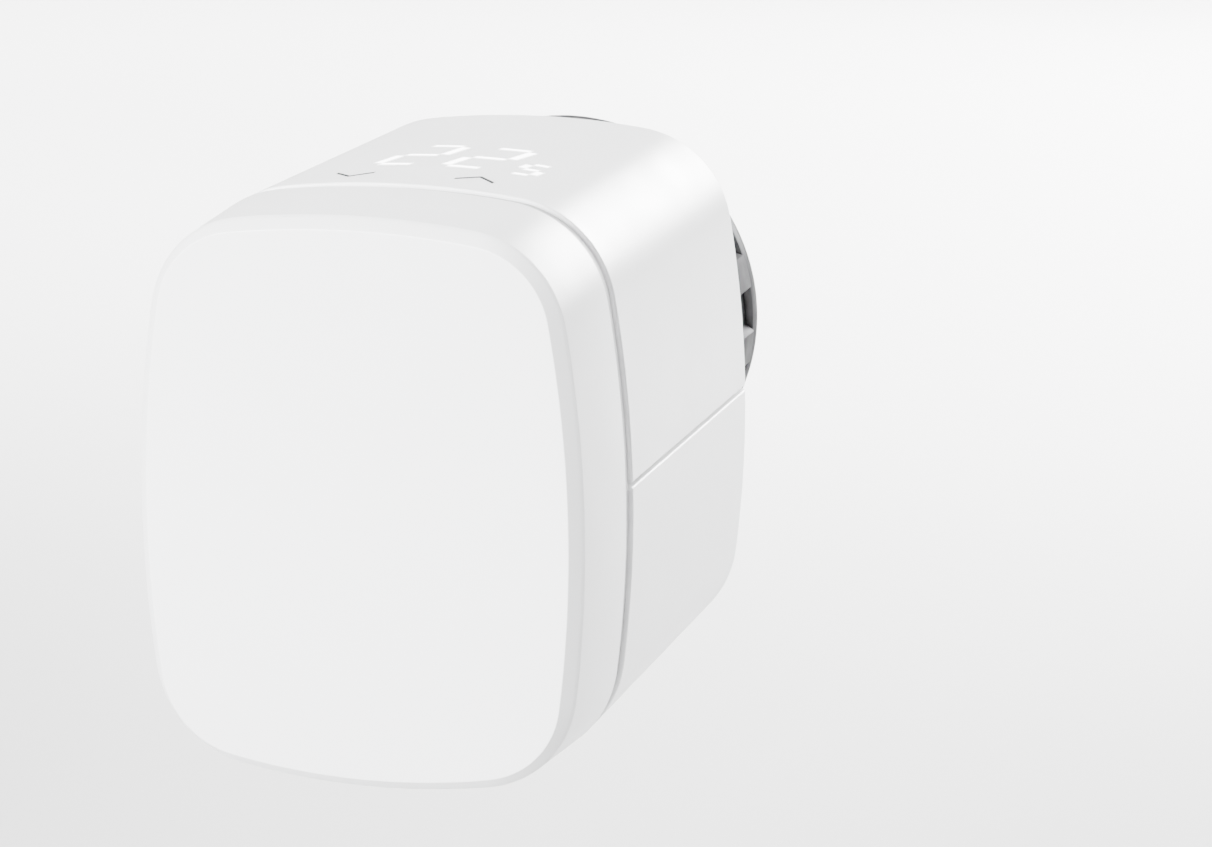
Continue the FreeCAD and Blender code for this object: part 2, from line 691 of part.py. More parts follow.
def grip_ring():
    ribs = polygon_prism(grip_profile(), GRIP_FRONT_Y, COLLAR_Y)
    chamfer_y = NUT_REAR_Y - COLLAR_CHAMFER
    collar = rod(0, 0, COLLAR_R, COLLAR_Y, chamfer_y)
    chamfer = Part.makeCone(COLLAR_R, COLLAR_R - COLLAR_CHAMFER, COLLAR_CHAMFER,
                            Vector(0, chamfer_y, 0), Vector(0, 1, 0))
    body = fuse([ribs, collar, chamfer])
    recess = tube(0, 0, COLLAR_RECESS_R[1], COLLAR_RECESS_R[0], COLLAR_RECESS_Y, NUT_REAR_Y)
    return body.cut(recess).cut(rod(0, 0, NUT_R, NUT_FRONT_Y, NUT_REAR_Y))


def slip_washer():
    return tube(0, 0, 14.9, NECK_R + 0.05, NUT_LIP_Y + 0.02, -NECK_FLANGE_T)


# Motor


def motor_can():
    x, z = train()["motor"]
    body = tube(x, z, MOTOR_R, MOTOR_R - MOTOR_WALL, MOTOR_FRONT_Y, FRONT_PLATE[0])
    floor = rod(x, z, MOTOR_R, FRONT_PLATE[0] - CAN_FLOOR_T, FRONT_PLATE[0])
    boss = rod(x, z, 2.95, FRONT_PLATE[0], FRONT_PLATE[1] - 0.1)
    body = fuse([body, floor, boss]).cut(rod(x, z, SHAFT_R + BORE_GAP, THROUGH_Y[0], THROUGH_Y[1]))
    for side in (-1, 1):
        screw_z = z + side * MOTOR_SCREW_REACH
        body = body.cut(rod(x, screw_z, SCREW_SHANK_R, FRONT_PLATE[0] - CAN_FLOOR_T, FRONT_PLATE[0]))
    return body


def terminal_bar(x, z, y0, y1):
    half_t = TERMINAL_HALF_T
    half_w = TERMINAL_HALF_W
    return box(x - half_t, x + half_t, y0, y1, z - half_w, z + half_w)


def motor_end_cap():
    x, z = train()["motor"]
    cap = rod(x, z, MOTOR_R, MOTOR_FRONT_Y - CAP_T, MOTOR_FRONT_Y)
    plug = tube(x, z, MOTOR_R - MOTOR_WALL - 0.05, 5.6, MOTOR_FRONT_Y, MOTOR_FRONT_Y + 2.0)
    boss = rod(x, z, 3.0, MOTOR_FRONT_Y - CAP_BOSS_T, MOTOR_FRONT_Y - CAP_T)
    bore = rod(x, z, SHAFT_R + BORE_GAP, MOTOR_FRONT_Y - 2.4, MOTOR_FRONT_Y + 3.0)
    body = fuse([cap, plug, boss]).cut(bore)
    for side in (-1, 1):
        slot_x = x + side * TERMINAL_X
        body = body.cut(terminal_bar(slot_x, z, TERMINAL_FRONT_Y, MOTOR_FRONT_Y + 3.0))
    return body


def motor_terminals():
    x, z = train()["motor"]
    shapes = []
    for side in (-1, 1):
        slot_x = x + side * TERMINAL_X
        shapes.append(terminal_bar(slot_x, z, TERMINAL_FRONT_Y, MOTOR_FRONT_Y - 0.2))
    return Part.makeCompound(shapes)


def motor_leads():
    x, z = train()["motor"]
    shapes = []
    for side in (-1, 1):
        slot_x = x + side * TERMINAL_X
        shapes.append(rod(slot_x, z, LEAD_R, BOARD_Y[1], TERMINAL_FRONT_Y))
    return Part.makeCompound(shapes)


def sector(x, z, outer, inner, y0, y1, start, sweep):
    ring = tube(x, z, outer, inner, y0, y1)
    reach = outer * 3.0
    steps = 6
    points = [(x, z)]
    for step in range(steps + 1):
        angle = start + sweep * step / steps
        points.append((x + reach * math.cos(angle), z + reach * math.sin(angle)))
    return ring.common(polygon_prism(points, y0, y1))


def motor_magnets():
    x, z = train()["motor"]
    inner = MOTOR_R - MOTOR_WALL
    shapes = []
    for start in (30.0, 210.0):
        turn = math.radians(start)
        shapes.append(sector(x, z, inner, MAGNET_R, MAGNET_Y[0], MAGNET_Y[1], turn, math.radians(120.0)))
    return Part.makeCompound(shapes)


def motor_armature():
    x, z = train()["motor"]
    body = [rod(x, z, 2.2, CORE_Y[0], CORE_Y[1])]
    for pole in range(3):
        angle = math.radians(90.0 + 120.0 * pole)
        shoe = sector(x, z, 5.5, 4.5, CORE_Y[0], CORE_Y[1], angle - 0.85, 1.7)
        arm = box(1.8, 4.8, CORE_Y[0], CORE_Y[1], -POLE_HALF_W, POLE_HALF_W)
        arm.rotate(Vector(0, 0, 0), Vector(0, -1, 0), math.degrees(angle))
        arm.translate(Vector(x, 0, z))
        body += [shoe, arm]
    return fuse(body).cut(rod(x, z, SHAFT_R, THROUGH_Y[0], THROUGH_Y[1]))


def motor_windings():
    x, z = train()["motor"]
    shapes = []
    for pole in range(3):
        angle = 90.0 + 120.0 * pole
        coil = box(2.5, 4.1, MAGNET_Y[0], MAGNET_Y[1], -COIL_HALF_W, COIL_HALF_W)
        coil = coil.cut(box(2.0, 5.0, CORE_Y[0], CORE_Y[1], -POLE_HALF_W, POLE_HALF_W))
        coil.rotate(Vector(0, 0, 0), Vector(0, -1, 0), angle)
        coil.translate(Vector(x, 0, z))
        shapes.append(coil)
    return Part.makeCompound(shapes)


def motor_commutator():
    x, z = train()["motor"]
    return tube(x, z, 1.9, SHAFT_R, -51.4, -48.4)


def motor_shaft():
    x, z = train()["motor"]
    return rod(x, z, SHAFT_R, MOTOR_FRONT_Y - 2.2, LAYER_A[1])


def motor_pinion():
    layout = train()
    x, z = layout["motor"]
    pinion = gear(x, z, PINION_TEETH, layout["motor_phase"], (LAYER_A[0] + 0.1, LAYER_A[1]))
    return pinion.cut(rod(x, z, SHAFT_R, THROUGH_Y[0], THROUGH_Y[1]))


# Electronics


def board_screw_points():
    return [(-18.0, 12.0), (18.0, 12.0), (-18.0, -26.0), (12.0, -31.0)]


def display_screw_points():
    return [(-15.2, -51.6), (15.2, -51.6), (-15.2, -34.4), (15.2, -34.4)]


def main_board():
    body = prism(4.9, BOARD_Y[0], BOARD_Y[1])
    for x, z in board_screw_points():
        body = body.cut(rod(x, z, SCREW_SHANK_R + 0.1, BOARD_Y[0], BOARD_Y[1]))
    return body


def radio_module():
    can = box(-9.0, 5.0, BOARD_Y[1], BOARD_Y[1] + 2.2, -6.0, 6.0)
    edges = [edge for edge in can.Edges if abs(edge.tangentAt(edge.FirstParameter).y) > 0.99]
    return can.makeFillet(0.8, edges)


def control_chips():
    rear = BOARD_Y[1]
    return Part.makeCompound([
        box(-14.0, -7.0, rear, rear + 0.9, -18.0, -11.0),
        box(2.0, 7.0, rear, rear + 1.2, -16.0, -12.0),
        box(10.0, 15.0, rear, rear + 1.1, -4.0, 2.0),
    ])


def board_capacitors():
    rear = BOARD_Y[1]
    spots = [(-2.0, -20.0), (2.0, -20.0), (12.0, -10.0), (-14.0, 2.0)]
    return Part.makeCompound([rod(x, z, 1.3, rear, rear + 2.4) for x, z in spots])


def antenna():
    rear = BOARD_Y[1]
    bar = box(-14.0, 14.0, rear, rear + 0.4, 14.6, 16.2)
    legs = [box(x, x + 1.2, rear, rear + 0.4, 10.6, 14.6) for x in (-14.0, -10.0)]
    return fuse([bar] + legs)


def room_sensor():
    rear = BOARD_Y[1]
    bead = Part.makeSphere(1.3, Vector(0, rear + 1.4, -33.4))
    legs = [rod(x, -33.4, 0.25, rear, rear + 1.4) for x in (-0.7, 0.7)]
    return fuse([bead] + legs)


def board_screws(points, y0, y1, head):
    shapes = []
    for x, z in points:
        shank = rod(x, z, SCREW_SHANK_R, min(y0, y1), max(y0, y1))
        way = 1.0 if y1 > y0 else -1.0
        start = y0 - way * head
        cap = rod(x, z, SCREW_HEAD_R, min(start, y0), max(start, y0))
        near = min(start, start + way * SLOT_DEPTH)
        far = near + SLOT_DEPTH
        slot = box(x - SLOT_HALF_L, x + SLOT_HALF_L, near, far, z - SLOT_HALF_W, z + SLOT_HALF_W)
        cross = box(x - SLOT_HALF_W, x + SLOT_HALF_W, near, far, z - SLOT_HALF_L, z + SLOT_HALF_L)
        shapes.append(fuse([cap, shank]).cut(slot).cut(cross))
    return Part.makeCompound(shapes)


def display_board():
    body = box(-DISPLAY_X, DISPLAY_X, DISPLAY_Y[0], DISPLAY_Y[1], DISPLAY_Z[0], DISPLAY_Z[1])
    for x, y in display_screw_points():
        body = body.cut(pin(x, y, SCREW_SHANK_R + 0.1, DISPLAY_Z[0], DISPLAY_Z[1]))
    return body


def display_screws():
    shapes = []
    for x, y in display_screw_points():
        head = pin(x, y, SCREW_HEAD_R, DISPLAY_Z[0] - 1.0, DISPLAY_Z[0])
        shank = pin(x, y, SCREW_SHANK_R, DISPLAY_Z[0], 24.0)
        slot = box(x - 1.1, x + 1.1, y - 0.2, y + 0.2, DISPLAY_Z[0] - 1.0, DISPLAY_Z[0] - 0.6)
        shapes.append(fuse([head, shank]).cut(slot))
    return Part.makeCompound(shapes)


def segment_spots(digit):
    """Centre, length and direction of the seven bars of one digit."""
    x, y, width, height = digit
    half = height / 2.0
    across = [(x + width / 2.0, y + share * height, "x", width) for share in (0.0, 0.5, 1.0)]
    along = [(x + side, y + share * height, "y", half) for side in (0.0, width) for share in (0.25, 0.75)]
    return across + along


def led_chips():
    shapes = []
    for digit in DIGITS:
        for x, y, _, _ in segment_spots(digit):
            shapes.append(box(x - 0.4, x + 0.4, y - 0.3, y + 0.3, DISPLAY_Z[1], DISPLAY_Z[1] + 0.4))
    return Part.makeCompound(shapes)


def light_guide():
    body = box(-9.6, 13.2, -43.2, -28.6, DISPLAY_Z[1], 23.9)
    for digit in DIGITS:
        for x, y, way, length in segment_spots(digit):
            reach = length / 2.0 - 0.75
            half_x = reach if way == "x" else 0.55
            half_y = reach if way == "y" else 0.55
            body = body.cut(box(x - half_x, x + half_x, y - half_y, y + half_y, DISPLAY_Z[1], 23.9))
    return body


def touch_pads():
    return Part.makeCompound([pin(x, y, 3.2, DISPLAY_Z[1], 24.1) for x, y in TOUCH_PADS])


def display_driver():
    return box(-13.0, -8.0, -44.0, -39.0, DISPLAY_Z[0] - 0.9, DISPLAY_Z[0])


def flex_cable():
    y = BOARD_Y[1]
    z = DISPLAY_Z[0]
    path = [(y, 17.0), (y + 0.2, 17.0), (y + 0.2, 19.2), (y + 1.6, z - 0.5), (DISPLAY_Y[0] + 0.8, z - 0.5),
            (DISPLAY_Y[0] + 1.2, z - 0.2), (DISPLAY_Y[0] + 4.0, z - 0.2), (DISPLAY_Y[0] + 4.0, z),
            (DISPLAY_Y[0] + 1.0, z), (DISPLAY_Y[0] + 0.6, z - 0.3), (y + 1.5, z - 0.3), (y, 19.3)]
    corners = [Vector(-5.0, depth, height) for depth, height in path]
    return Part.Face(Part.makePolygon(corners + corners[:1])).extrude(Vector(10.0, 0, 0))


def nodes():
    layout = train()
    motor_x, motor_z = layout["motor"]
    return {
        "front_panel": front_panel(),
        "front_ring": front_ring(),
        "upper_housing": upper_housing(),
        "battery_cover": battery_cover(),
        "chassis": chassis(),
        "battery_tray": battery_tray(),
        "battery_left": cell(-CELL_X),
        "battery_right": cell(CELL_X),
        "spring_contacts": spring_contacts(),
        "series_strap": series_strap(),
        "positive_busbar": positive_busbar(),
        "negative_lead": negative_lead(),
        "gearbox_front_plate": gearbox_front_plate(),
        "gearbox_rear_cover": gearbox_rear_cover(),
        "drive_wheel": drive_wheel(),
        "idler_gear_2": idler_gear(layout["idler_2"], WHEEL_2_TEETH, layout["pinion_2"],
                                   LAYER_B, LAYER_C, (-29.5, LAYER_C[1])),
        "idler_gear_1": idler_gear(layout["idler_1"], WHEEL_1_TEETH, layout["pinion_1"],
                                   LAYER_A, (LAYER_A[1], LAYER_B[1]), (-29.5, LAYER_C[1])),
        "axle_1": axle("idler_1"),
        "axle_2": axle("idler_2"),
        "thrust_washer": thrust_washer(),
        "plunger": plunger(),
        "plunger_tip": plunger_tip(),
        "mounting_neck": mounting_neck(),
        "neck_pins": Part.makeCompound(pin_shapes()),
        "union_nut": union_nut(),
        "grip_ring": grip_ring(),
        "slip_washer": slip_washer(),
        "motor_can": motor_can(),
        "motor_end_cap": motor_end_cap(),
        "motor_terminals": motor_terminals(),
        "motor_leads": motor_leads(),
        "motor_magnets": motor_magnets(),
        "motor_armature": motor_armature(),
        "motor_windings": motor_windings(),
        "motor_commutator": motor_commutator(),
        "motor_shaft": motor_shaft(),
        "motor_pinion": motor_pinion(),
        "main_board": main_board(),
        "radio_module": radio_module(),
        "control_chips": control_chips(),
        "board_capacitors": board_capacitors(),
        "antenna": antenna(),
        "room_sensor": room_sensor(),
        "display_board": display_board(),
        "display_driver": display_driver(),
        "led_chips": led_chips(),
        "light_guide": light_guide(),
        "touch_pads": touch_pads(),
        "flex_cable": flex_cable(),
        "board_screws": board_screws(board_screw_points(), BOARD_Y[0], BULKHEAD_Y[1], 1.2),
        "display_screws": display_screws(),
        "gearbox_screws": board_screws(GEARBOX_POSTS, REAR_PLATE[1], REAR_PLATE[0] - 6.0, 1.2),
        "bracket_screws": board_screws(GEARBOX_POSTS[:2], -34.0, FRONT_PLATE[1] + 3.0, 1.0),
        "motor_screws": board_screws([(motor_x, motor_z + 5.0), (motor_x, motor_z - 5.0)],
                                     FRONT_PLATE[1], FRONT_PLATE[0] - 1.0, 0.4),
    }


def main():
    os.makedirs("parts", exist_ok=True)
    for name, shape in nodes().items():
        shape.exportStep("parts/" + name + ".step")


main()
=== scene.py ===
"""Electronic thermostatic radiator valve head: looks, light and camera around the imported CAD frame."""

import json
import math

import bmesh
import bpy
from mathutils import Matrix, Vector


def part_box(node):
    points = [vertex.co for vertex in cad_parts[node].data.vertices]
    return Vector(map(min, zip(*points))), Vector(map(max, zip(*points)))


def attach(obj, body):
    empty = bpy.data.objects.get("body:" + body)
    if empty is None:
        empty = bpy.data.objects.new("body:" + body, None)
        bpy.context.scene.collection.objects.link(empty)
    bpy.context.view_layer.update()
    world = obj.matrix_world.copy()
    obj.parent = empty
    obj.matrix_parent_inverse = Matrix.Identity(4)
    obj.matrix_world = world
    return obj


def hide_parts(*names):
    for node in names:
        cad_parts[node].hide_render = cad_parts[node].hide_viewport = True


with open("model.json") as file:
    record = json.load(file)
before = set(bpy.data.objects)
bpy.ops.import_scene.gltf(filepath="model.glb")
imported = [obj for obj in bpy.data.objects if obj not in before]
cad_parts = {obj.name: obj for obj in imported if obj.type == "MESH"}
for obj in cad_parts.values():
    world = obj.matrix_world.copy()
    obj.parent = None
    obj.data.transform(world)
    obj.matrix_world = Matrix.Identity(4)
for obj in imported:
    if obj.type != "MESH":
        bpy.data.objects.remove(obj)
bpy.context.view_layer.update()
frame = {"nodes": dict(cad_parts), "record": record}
nodes = frame["nodes"]

MM = 0.001

# Body size, read from the frame
PANEL_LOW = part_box("front_panel")[0]
HOUSING_LOW, HOUSING_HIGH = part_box("upper_housing")
COVER_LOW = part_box("battery_cover")[0]
RING_LOW, RING_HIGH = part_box("front_ring")
GRIP_LOW, GRIP_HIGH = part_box("grip_ring")
FRONT_Y = PANEL_LOW.y
REAR_Y = HOUSING_HIGH.y
REAR_BODY_Y = HOUSING_LOW.y
RING_FRONT_Y = RING_LOW.y
RING_REAR_Y = RING_HIGH.y
BODY_Z = (HOUSING_HIGH.z + COVER_LOW.z) / 2.0
HALF_H = (HOUSING_HIGH.z - COVER_LOW.z) / 2.0

# Outline of the body, and the heights of the side seam's two edges above its middle
HALF_W = 27.0 * MM
SEAM_UP = 0.72 * MM
SEAM_DOWN = 0.22 * MM
SIDE_R = 145.15 * MM
SIDE_DROP = 2.575 * MM
TOP_R = 107.3 * MM
BOTTOM_R = 84.0 * MM
TOP_CORNER_R = 12.95 * MM
BOTTOM_CORNER_R = 13.4 * MM
OUTLINE_STEPS = (14, 20, 10, 16, 20, 14)

# Front plate, front ring and the two rear shells
FACE_INSET = 2.205 * MM
FACE_CORNER_TRIM = 0.95 * MM
BEVEL_INSET = 0.858 * MM
BEVEL_DEPTH = 1.68 * MM
PANEL_JOINT = 0.30 * MM
PANEL_GAP = 0.03 * MM
FACE_EDGE_REACH = 0.10 * MM
CORNER_REACH = 0.16 * MM
WINDOW_INSET = 3.3 * MM
RING_LIP = 1.5 * MM
RING_ROUND = 0.25 * MM
SHELL_ROUND = 0.3 * MM
REAR_ROUND = 1.8 * MM
WALL = 2.0 * MM
REAR_WALL = 1.6 * MM
NECK_HOLE_R = 13.4 * MM
SEAM_ROUND = 0.42 * MM
COVER_SEAM_ROUND = 0.75 * MM
SHELL_SHARP_ANGLE = 30.0
WELD_GAP = 0.005 * MM

# Lip behind the side seam: insets of its two faces, ends and height
TONGUE_INSETS = (WALL + 0.3 * MM, WALL + 1.2 * MM)
TONGUE_FRONT_GAP = 1.6 * MM
TONGUE_REAR_GAP = 2.0 * MM
TONGUE_RISE = 2.0 * MM
TONGUE_STEP = 0.5 * MM
TONGUE_LEVELS = 9

# Bosses and ceiling ribs inside the upper housing, in millimetres
BOSS_X = 15.2
BOSS_Y = (-51.6, -34.4)
BOSS_Z = (22.62, 24.6)
BOSS_FOOT_R = 2.0
BOSS_TIP_R = 1.7
BOSS_BORE_R = 0.8
CEILING_RIBS = ((-14.0, 24.6), (0.0, 25.4), (14.0, 24.6))
CEILING_RIB_HALF_W = 0.5
CEILING_RIB_Y = (-26.0, -5.3)
CEILING_RIB_LOW_Z = 22.2

# Thumb grooves and hooks of the battery cover, in millimetres
GROOVE_COUNT = 4
GROOVE_FIRST_Y = -14.0
GROOVE_PITCH = 2.4
GROOVE_W = 1.2
GROOVE_HALF_LENGTH = 9.0
GROOVE_Z = (-42.0, -39.35)
HOOK_STEM_X = (23.6, 25.4)
HOOK_STEM_Y = (-34.0, -30.0)
HOOK_STEM_Z = (-27.0, -25.0)
HOOK_TIP_X = (22.9, 24.2)
HOOK_TIP_Y = (-33.4, -30.6)
HOOK_TIP_Z = (-26.3, -25.2)

# Display and touch marks, with depths from the front face backwards.
# Digit: name, near left corner, width, height, slant, stroke weight and lit segments.
# Arrow: name, middle of its feet, and rise of its tip.
SEGMENT_W = 1.15 * MM
SEGMENT_GAP = 0.62
CORE_SHARE = 0.75
HALO_SHARE = 0.28
STROKE_EDGE_GLOW = 0.75
MARK_LIFT = 0.03 * MM
DIGITS = [
    ("display_digit_tens", -7.70 * MM, 29.2 * MM, 4.9 * MM, 12.6 * MM, 0.17, 1.0, "abged"),
    ("display_digit_units", 0.63 * MM, 29.2 * MM, 4.9 * MM, 12.6 * MM, 0.17, 1.0, "abged"),
    ("display_digit_half", 8.75 * MM, 28.7 * MM, 2.7 * MM, 6.0 * MM, 0.12, 0.85, "afgcd"),
]
ARROWS = [
    ("touch_arrow_down", -7.88 * MM, 23.4 * MM, -2.4 * MM),
    ("touch_arrow_up", 6.85 * MM, 22.0 * MM, 2.3 * MM),
]
ARROW_HALF_W = 2.3 * MM
ARROW_LINE_W = 0.55 * MM
ARROW_STEPS = 6


# Outline maths


def corner_centre(cap_z, cap_r, radius):
    """Centre of the right-hand corner arc tangent inside the side arc and the cap arc."""
    side_x = HALF_W - SIDE_R
    side_z = -SIDE_DROP
    reach_side = SIDE_R - radius
    reach_cap = cap_r - radius
    dx = -side_x
    dz = cap_z - side_z
    span = math.hypot(dx, dz)
    along = (reach_side**2 - reach_cap**2 + span**2) / (2.0 * span)
    across = math.sqrt(reach_side**2 - along**2)
    base = (side_x + along * dx / span, side_z + along * dz / span)
    first = (base[0] + across * dz / span, base[1] - across * dx / span)
    second = (base[0] - across * dz / span, base[1] + across * dx / span)
    return max(first, second)


def outline_arcs(inset, trim, seam):
    """The right half of the outline as (centre, radius, start angle, end angle), crown to keel."""
    side = (HALF_W - SIDE_R, -SIDE_DROP)
    top = (0.0, HALF_H - TOP_R)
    bottom = (0.0, BOTTOM_R - HALF_H)
    top_corner = corner_centre(top[1], TOP_R, TOP_CORNER_R - trim)
    bottom_corner = corner_centre(bottom[1], BOTTOM_R, BOTTOM_CORNER_R - trim)

    def bearing(origin, target):
        return math.atan2(target[1] - origin[1], target[0] - origin[0])

    angles = [
        math.pi / 2.0,
        bearing(top, top_corner),
        bearing(side, top_corner),
        math.asin((seam - side[1]) / (SIDE_R - inset)),
        bearing(side, bottom_corner),
        bearing(bottom, bottom_corner),
        -math.pi / 2.0,
    ]
    circles = [
        (top, TOP_R - inset),
        (top_corner, TOP_CORNER_R - trim - inset),
        (side, SIDE_R - inset),
        (side, SIDE_R - inset),
        (bottom_corner, BOTTOM_CORNER_R - trim - inset),
        (bottom, BOTTOM_R - inset),
    ]
    return [(*circle, angles[i], angles[i + 1]) for i, circle in enumerate(circles)]


def outline(inset, part="all", trim=0.0):
    """Points (x, z) about the body's centre: a closed loop, or one side of the side seam."""
    seam = SEAM_DOWN if part == "lower" else SEAM_UP
    arcs = outline_arcs(inset, trim, seam)
    chosen = {"all": slice(0, 6), "upper": slice(0, 3), "lower": slice(3, 6)}[part]
    right = []
    for (centre, radius, start, end), steps in zip(arcs[chosen], OUTLINE_STEPS[chosen]):
        for i in range(steps):
            angle = start + (end - start) * i / steps
            right.append((centre[0] + radius * math.cos(angle), centre[1] + radius * math.sin(angle)))
    centre, radius, _, end = arcs[chosen][-1]
    right.append((centre[0] + radius * math.cos(end), centre[1] + radius * math.sin(end)))
    left = [(-x, z) for x, z in reversed(right)]
    if part == "upper":
        return left + right[1:]
    if part == "lower":
        return right + left[1:]
    return right + left[1:-1]


def top_surface_z(x):
    return BODY_Z + HALF_H - (TOP_R - math.sqrt(TOP_R**2 - x**2))


# Mesh helpers


def smooth_step(value):
    value = max(0.0, min(1.0, value))
    return value * value * (3.0 - 2.0 * value)


def add_object(name, bm, body, material):
    bmesh.ops.recalc_face_normals(bm, faces=bm.faces)
    mesh = bpy.data.meshes.new(name)
    bm.to_mesh(mesh)
    bm.free()
    for polygon in mesh.polygons:
        polygon.use_smooth = True
    obj = bpy.data.objects.new(name, mesh)
    bpy.context.scene.collection.objects.link(obj)
    obj.data.materials.append(material)
    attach(obj, body)
    return obj


def bevel(obj, width, segments=3, angle=35.0):
    modifier = obj.modifiers.new("edge_round", "BEVEL")
    modifier.width = width
    modifier.segments = segments
    modifier.limit_method = "ANGLE"
    modifier.angle_limit = math.radians(angle)
    modifier.use_clamp_overlap = True
    normals = obj.modifiers.new("weighted", "WEIGHTED_NORMAL")
    normals.keep_sharp = True


def sharpen(obj, angle):
    """Split the shading at edges steeper than angle."""
    split = obj.modifiers.new("sharp", "EDGE_SPLIT")
    split.split_angle = math.radians(angle)


def rings_to_bmesh(rings, closed):
    bm = bmesh.new()
    rows = [[bm.verts.new(point) for point in ring] for ring in rings]
    for lower, upper in zip(rows, rows[1:]):
        count = len(lower)
        for i in range(count if closed else count - 1):
            j = (i + 1) % count
            bm.faces.new((lower[i], lower[j], upper[j], upper[i]))
    return bm, rows


def body_ring(y, inset, part="all", trim=0.0):
    return [Vector((x, y, BODY_Z + z)) for x, z in outline(inset, part, trim)]


def lathe(profile, steps, modulate=None, centre=(0.0, 0.0)):
    """Closed profile of (radius, y) turned about an axis along Y; modulate may change a radius."""
    rings = []
    for radius, y in profile:
        ring = []
        for i in range(steps):
            angle = 2.0 * math.pi * i / steps
            r = modulate(radius, y, angle) if modulate else radius
            ring.append(Vector((centre[0] + r * math.cos(angle), y, centre[1] + r * math.sin(angle))))
        rings.append(ring)
    bm, _ = rings_to_bmesh(rings + rings[:1], True)
    bmesh.ops.remove_doubles(bm, verts=bm.verts, dist=WELD_GAP)
    return bm


def add_box(bm, low, high):
    """Axis-aligned block from corner low to corner high, in millimetres."""
    corners = [
        bm.verts.new((x * MM, y * MM, z * MM))
        for x in (low[0], high[0]) for y in (low[1], high[1]) for z in (low[2], high[2])
    ]
    for ids in ((0, 1, 3, 2), (4, 6, 7, 5), (0, 4, 5, 1), (2, 3, 7, 6), (0, 2, 6, 4), (1, 5, 7, 3)):
        bm.faces.new([corners[i] for i in ids])


def add_post(bm, x, y, z_range, foot_r, tip_r, bore_r, steps=32):
    """Hollow tapered boss standing along Z, thick end at the top of z_range, in millimetres."""
    z0, z1 = z_range
    rows = []
    for radius, z in ((bore_r, z1), (foot_r, z1), (tip_r, z0), (bore_r, z0)):
        row = []
        for i in range(steps):
            angle = 2.0 * math.pi * i / steps
            point = (x + radius * math.cos(angle), y + radius * math.sin(angle), z)
            row.append(bm.verts.new([value * MM for value in point]))
        rows.append(row)
    rows.append(rows[0])
    for lower, upper in zip(rows, rows[1:]):
        for i in range(steps):
            j = (i + 1) % steps
            bm.faces.new((lower[i], lower[j], upper[j], upper[i]))


def add_wire(bm, path, radius, sides=10):
    """Round wire swept along path."""
    rows = []
    for i, point in enumerate(path):
        ahead = path[min(i + 1, len(path) - 1)]
        behind = path[max(i - 1, 0)]
        along = (ahead - behind).normalized()
        side = along.cross(Vector((0.0, 1.0, 0.0))).normalized()
        rise = side.cross(along)
        row = []
        for k in range(sides):
            angle = 2.0 * math.pi * k / sides
            row.append(bm.verts.new(point + radius * (side * math.cos(angle) + rise * math.sin(angle))))
        rows.append(row)
    for near, far in zip(rows, rows[1:]):
        for k in range(sides):
            j = (k + 1) % sides
            bm.faces.new((near[k], near[j], far[j], far[k]))
    bm.faces.new(rows[0])
    bm.faces.new(rows[-1])


def carve(obj, cutter_bm):
    """Cut cutter_bm out of obj, with its modifiers applied first."""
    mesh = bpy.data.meshes.new("cutter")
    bmesh.ops.recalc_face_normals(cutter_bm, faces=cutter_bm.faces)
    cutter_bm.to_mesh(mesh)
    cutter_bm.free()
    cutter = bpy.data.objects.new("cutter", mesh)
    bpy.context.scene.collection.objects.link(cutter)
    cut = obj.modifiers.new("carve", "BOOLEAN")
    cut.operation = "DIFFERENCE"
    cut.solver = "EXACT"
    cut.object = cutter
    shaped = obj.evaluated_get(bpy.context.evaluated_depsgraph_get())
    result = bpy.data.meshes.new_from_object(shaped)
    obj.modifiers.clear()
    obj.data = result
    bpy.data.objects.remove(cutter)


# Materials


def new_material(name, base, roughness, metallic=0.0):
    material = bpy.data.materials.new(name)
    material.use_nodes = True
    tree = material.node_tree
    shader = tree.nodes["Principled BSDF"]
    shader.inputs["Base Color"].default_value = (*base, 1.0)
    shader.inputs["Roughness"].default_value = roughness
    shader.inputs["Metallic"].default_value = metallic
    return material, tree, shader


def add_noise(tree, size, detail=3.0, stretch=(1.0, 1.0, 1.0)):
    coords = tree.nodes.new("ShaderNodeTexCoord")
    mapping = tree.nodes.new("ShaderNodeMapping")
    mapping.inputs["Scale"].default_value = stretch
    noise = tree.nodes.new("ShaderNodeTexNoise")
    noise.inputs["Scale"].default_value = 1.0 / size
    noise.inputs["Detail"].default_value = detail
    tree.links.new(coords.outputs["Object"], mapping.inputs["Vector"])
    tree.links.new(mapping.outputs["Vector"], noise.inputs["Vector"])
    return noise.outputs["Fac"]


def add_ramp(tree, factor, low, high, start=0.35, end=0.65):
    ramp = tree.nodes.new("ShaderNodeValToRGB")
    ramp.color_ramp.elements[0].position = start
    ramp.color_ramp.elements[0].color = (*low, 1.0)
    ramp.color_ramp.elements[1].position = end
    ramp.color_ramp.elements[1].color = (*high, 1.0)
    tree.links.new(factor, ramp.inputs["Fac"])
    return ramp.outputs["Color"]


def add_range(tree, factor, low, high):
    node = tree.nodes.new("ShaderNodeMapRange")
    node.inputs["From Min"].default_value = 0.3
    node.inputs["From Max"].default_value = 0.7
    node.inputs["To Min"].default_value = low
    node.inputs["To Max"].default_value = high
    tree.links.new(factor, node.inputs["Value"])
    return node.outputs["Result"]


def add_bump(tree, shader, height, strength, distance):
    bump = tree.nodes.new("ShaderNodeBump")
    bump.inputs["Strength"].default_value = strength
    bump.inputs["Distance"].default_value = distance
    tree.links.new(height, bump.inputs["Height"])
    tree.links.new(bump.outputs["Normal"], shader.inputs["Normal"])


def shade(colour, amount):
    return tuple(max(0.0, min(1.0, c * amount)) for c in colour)


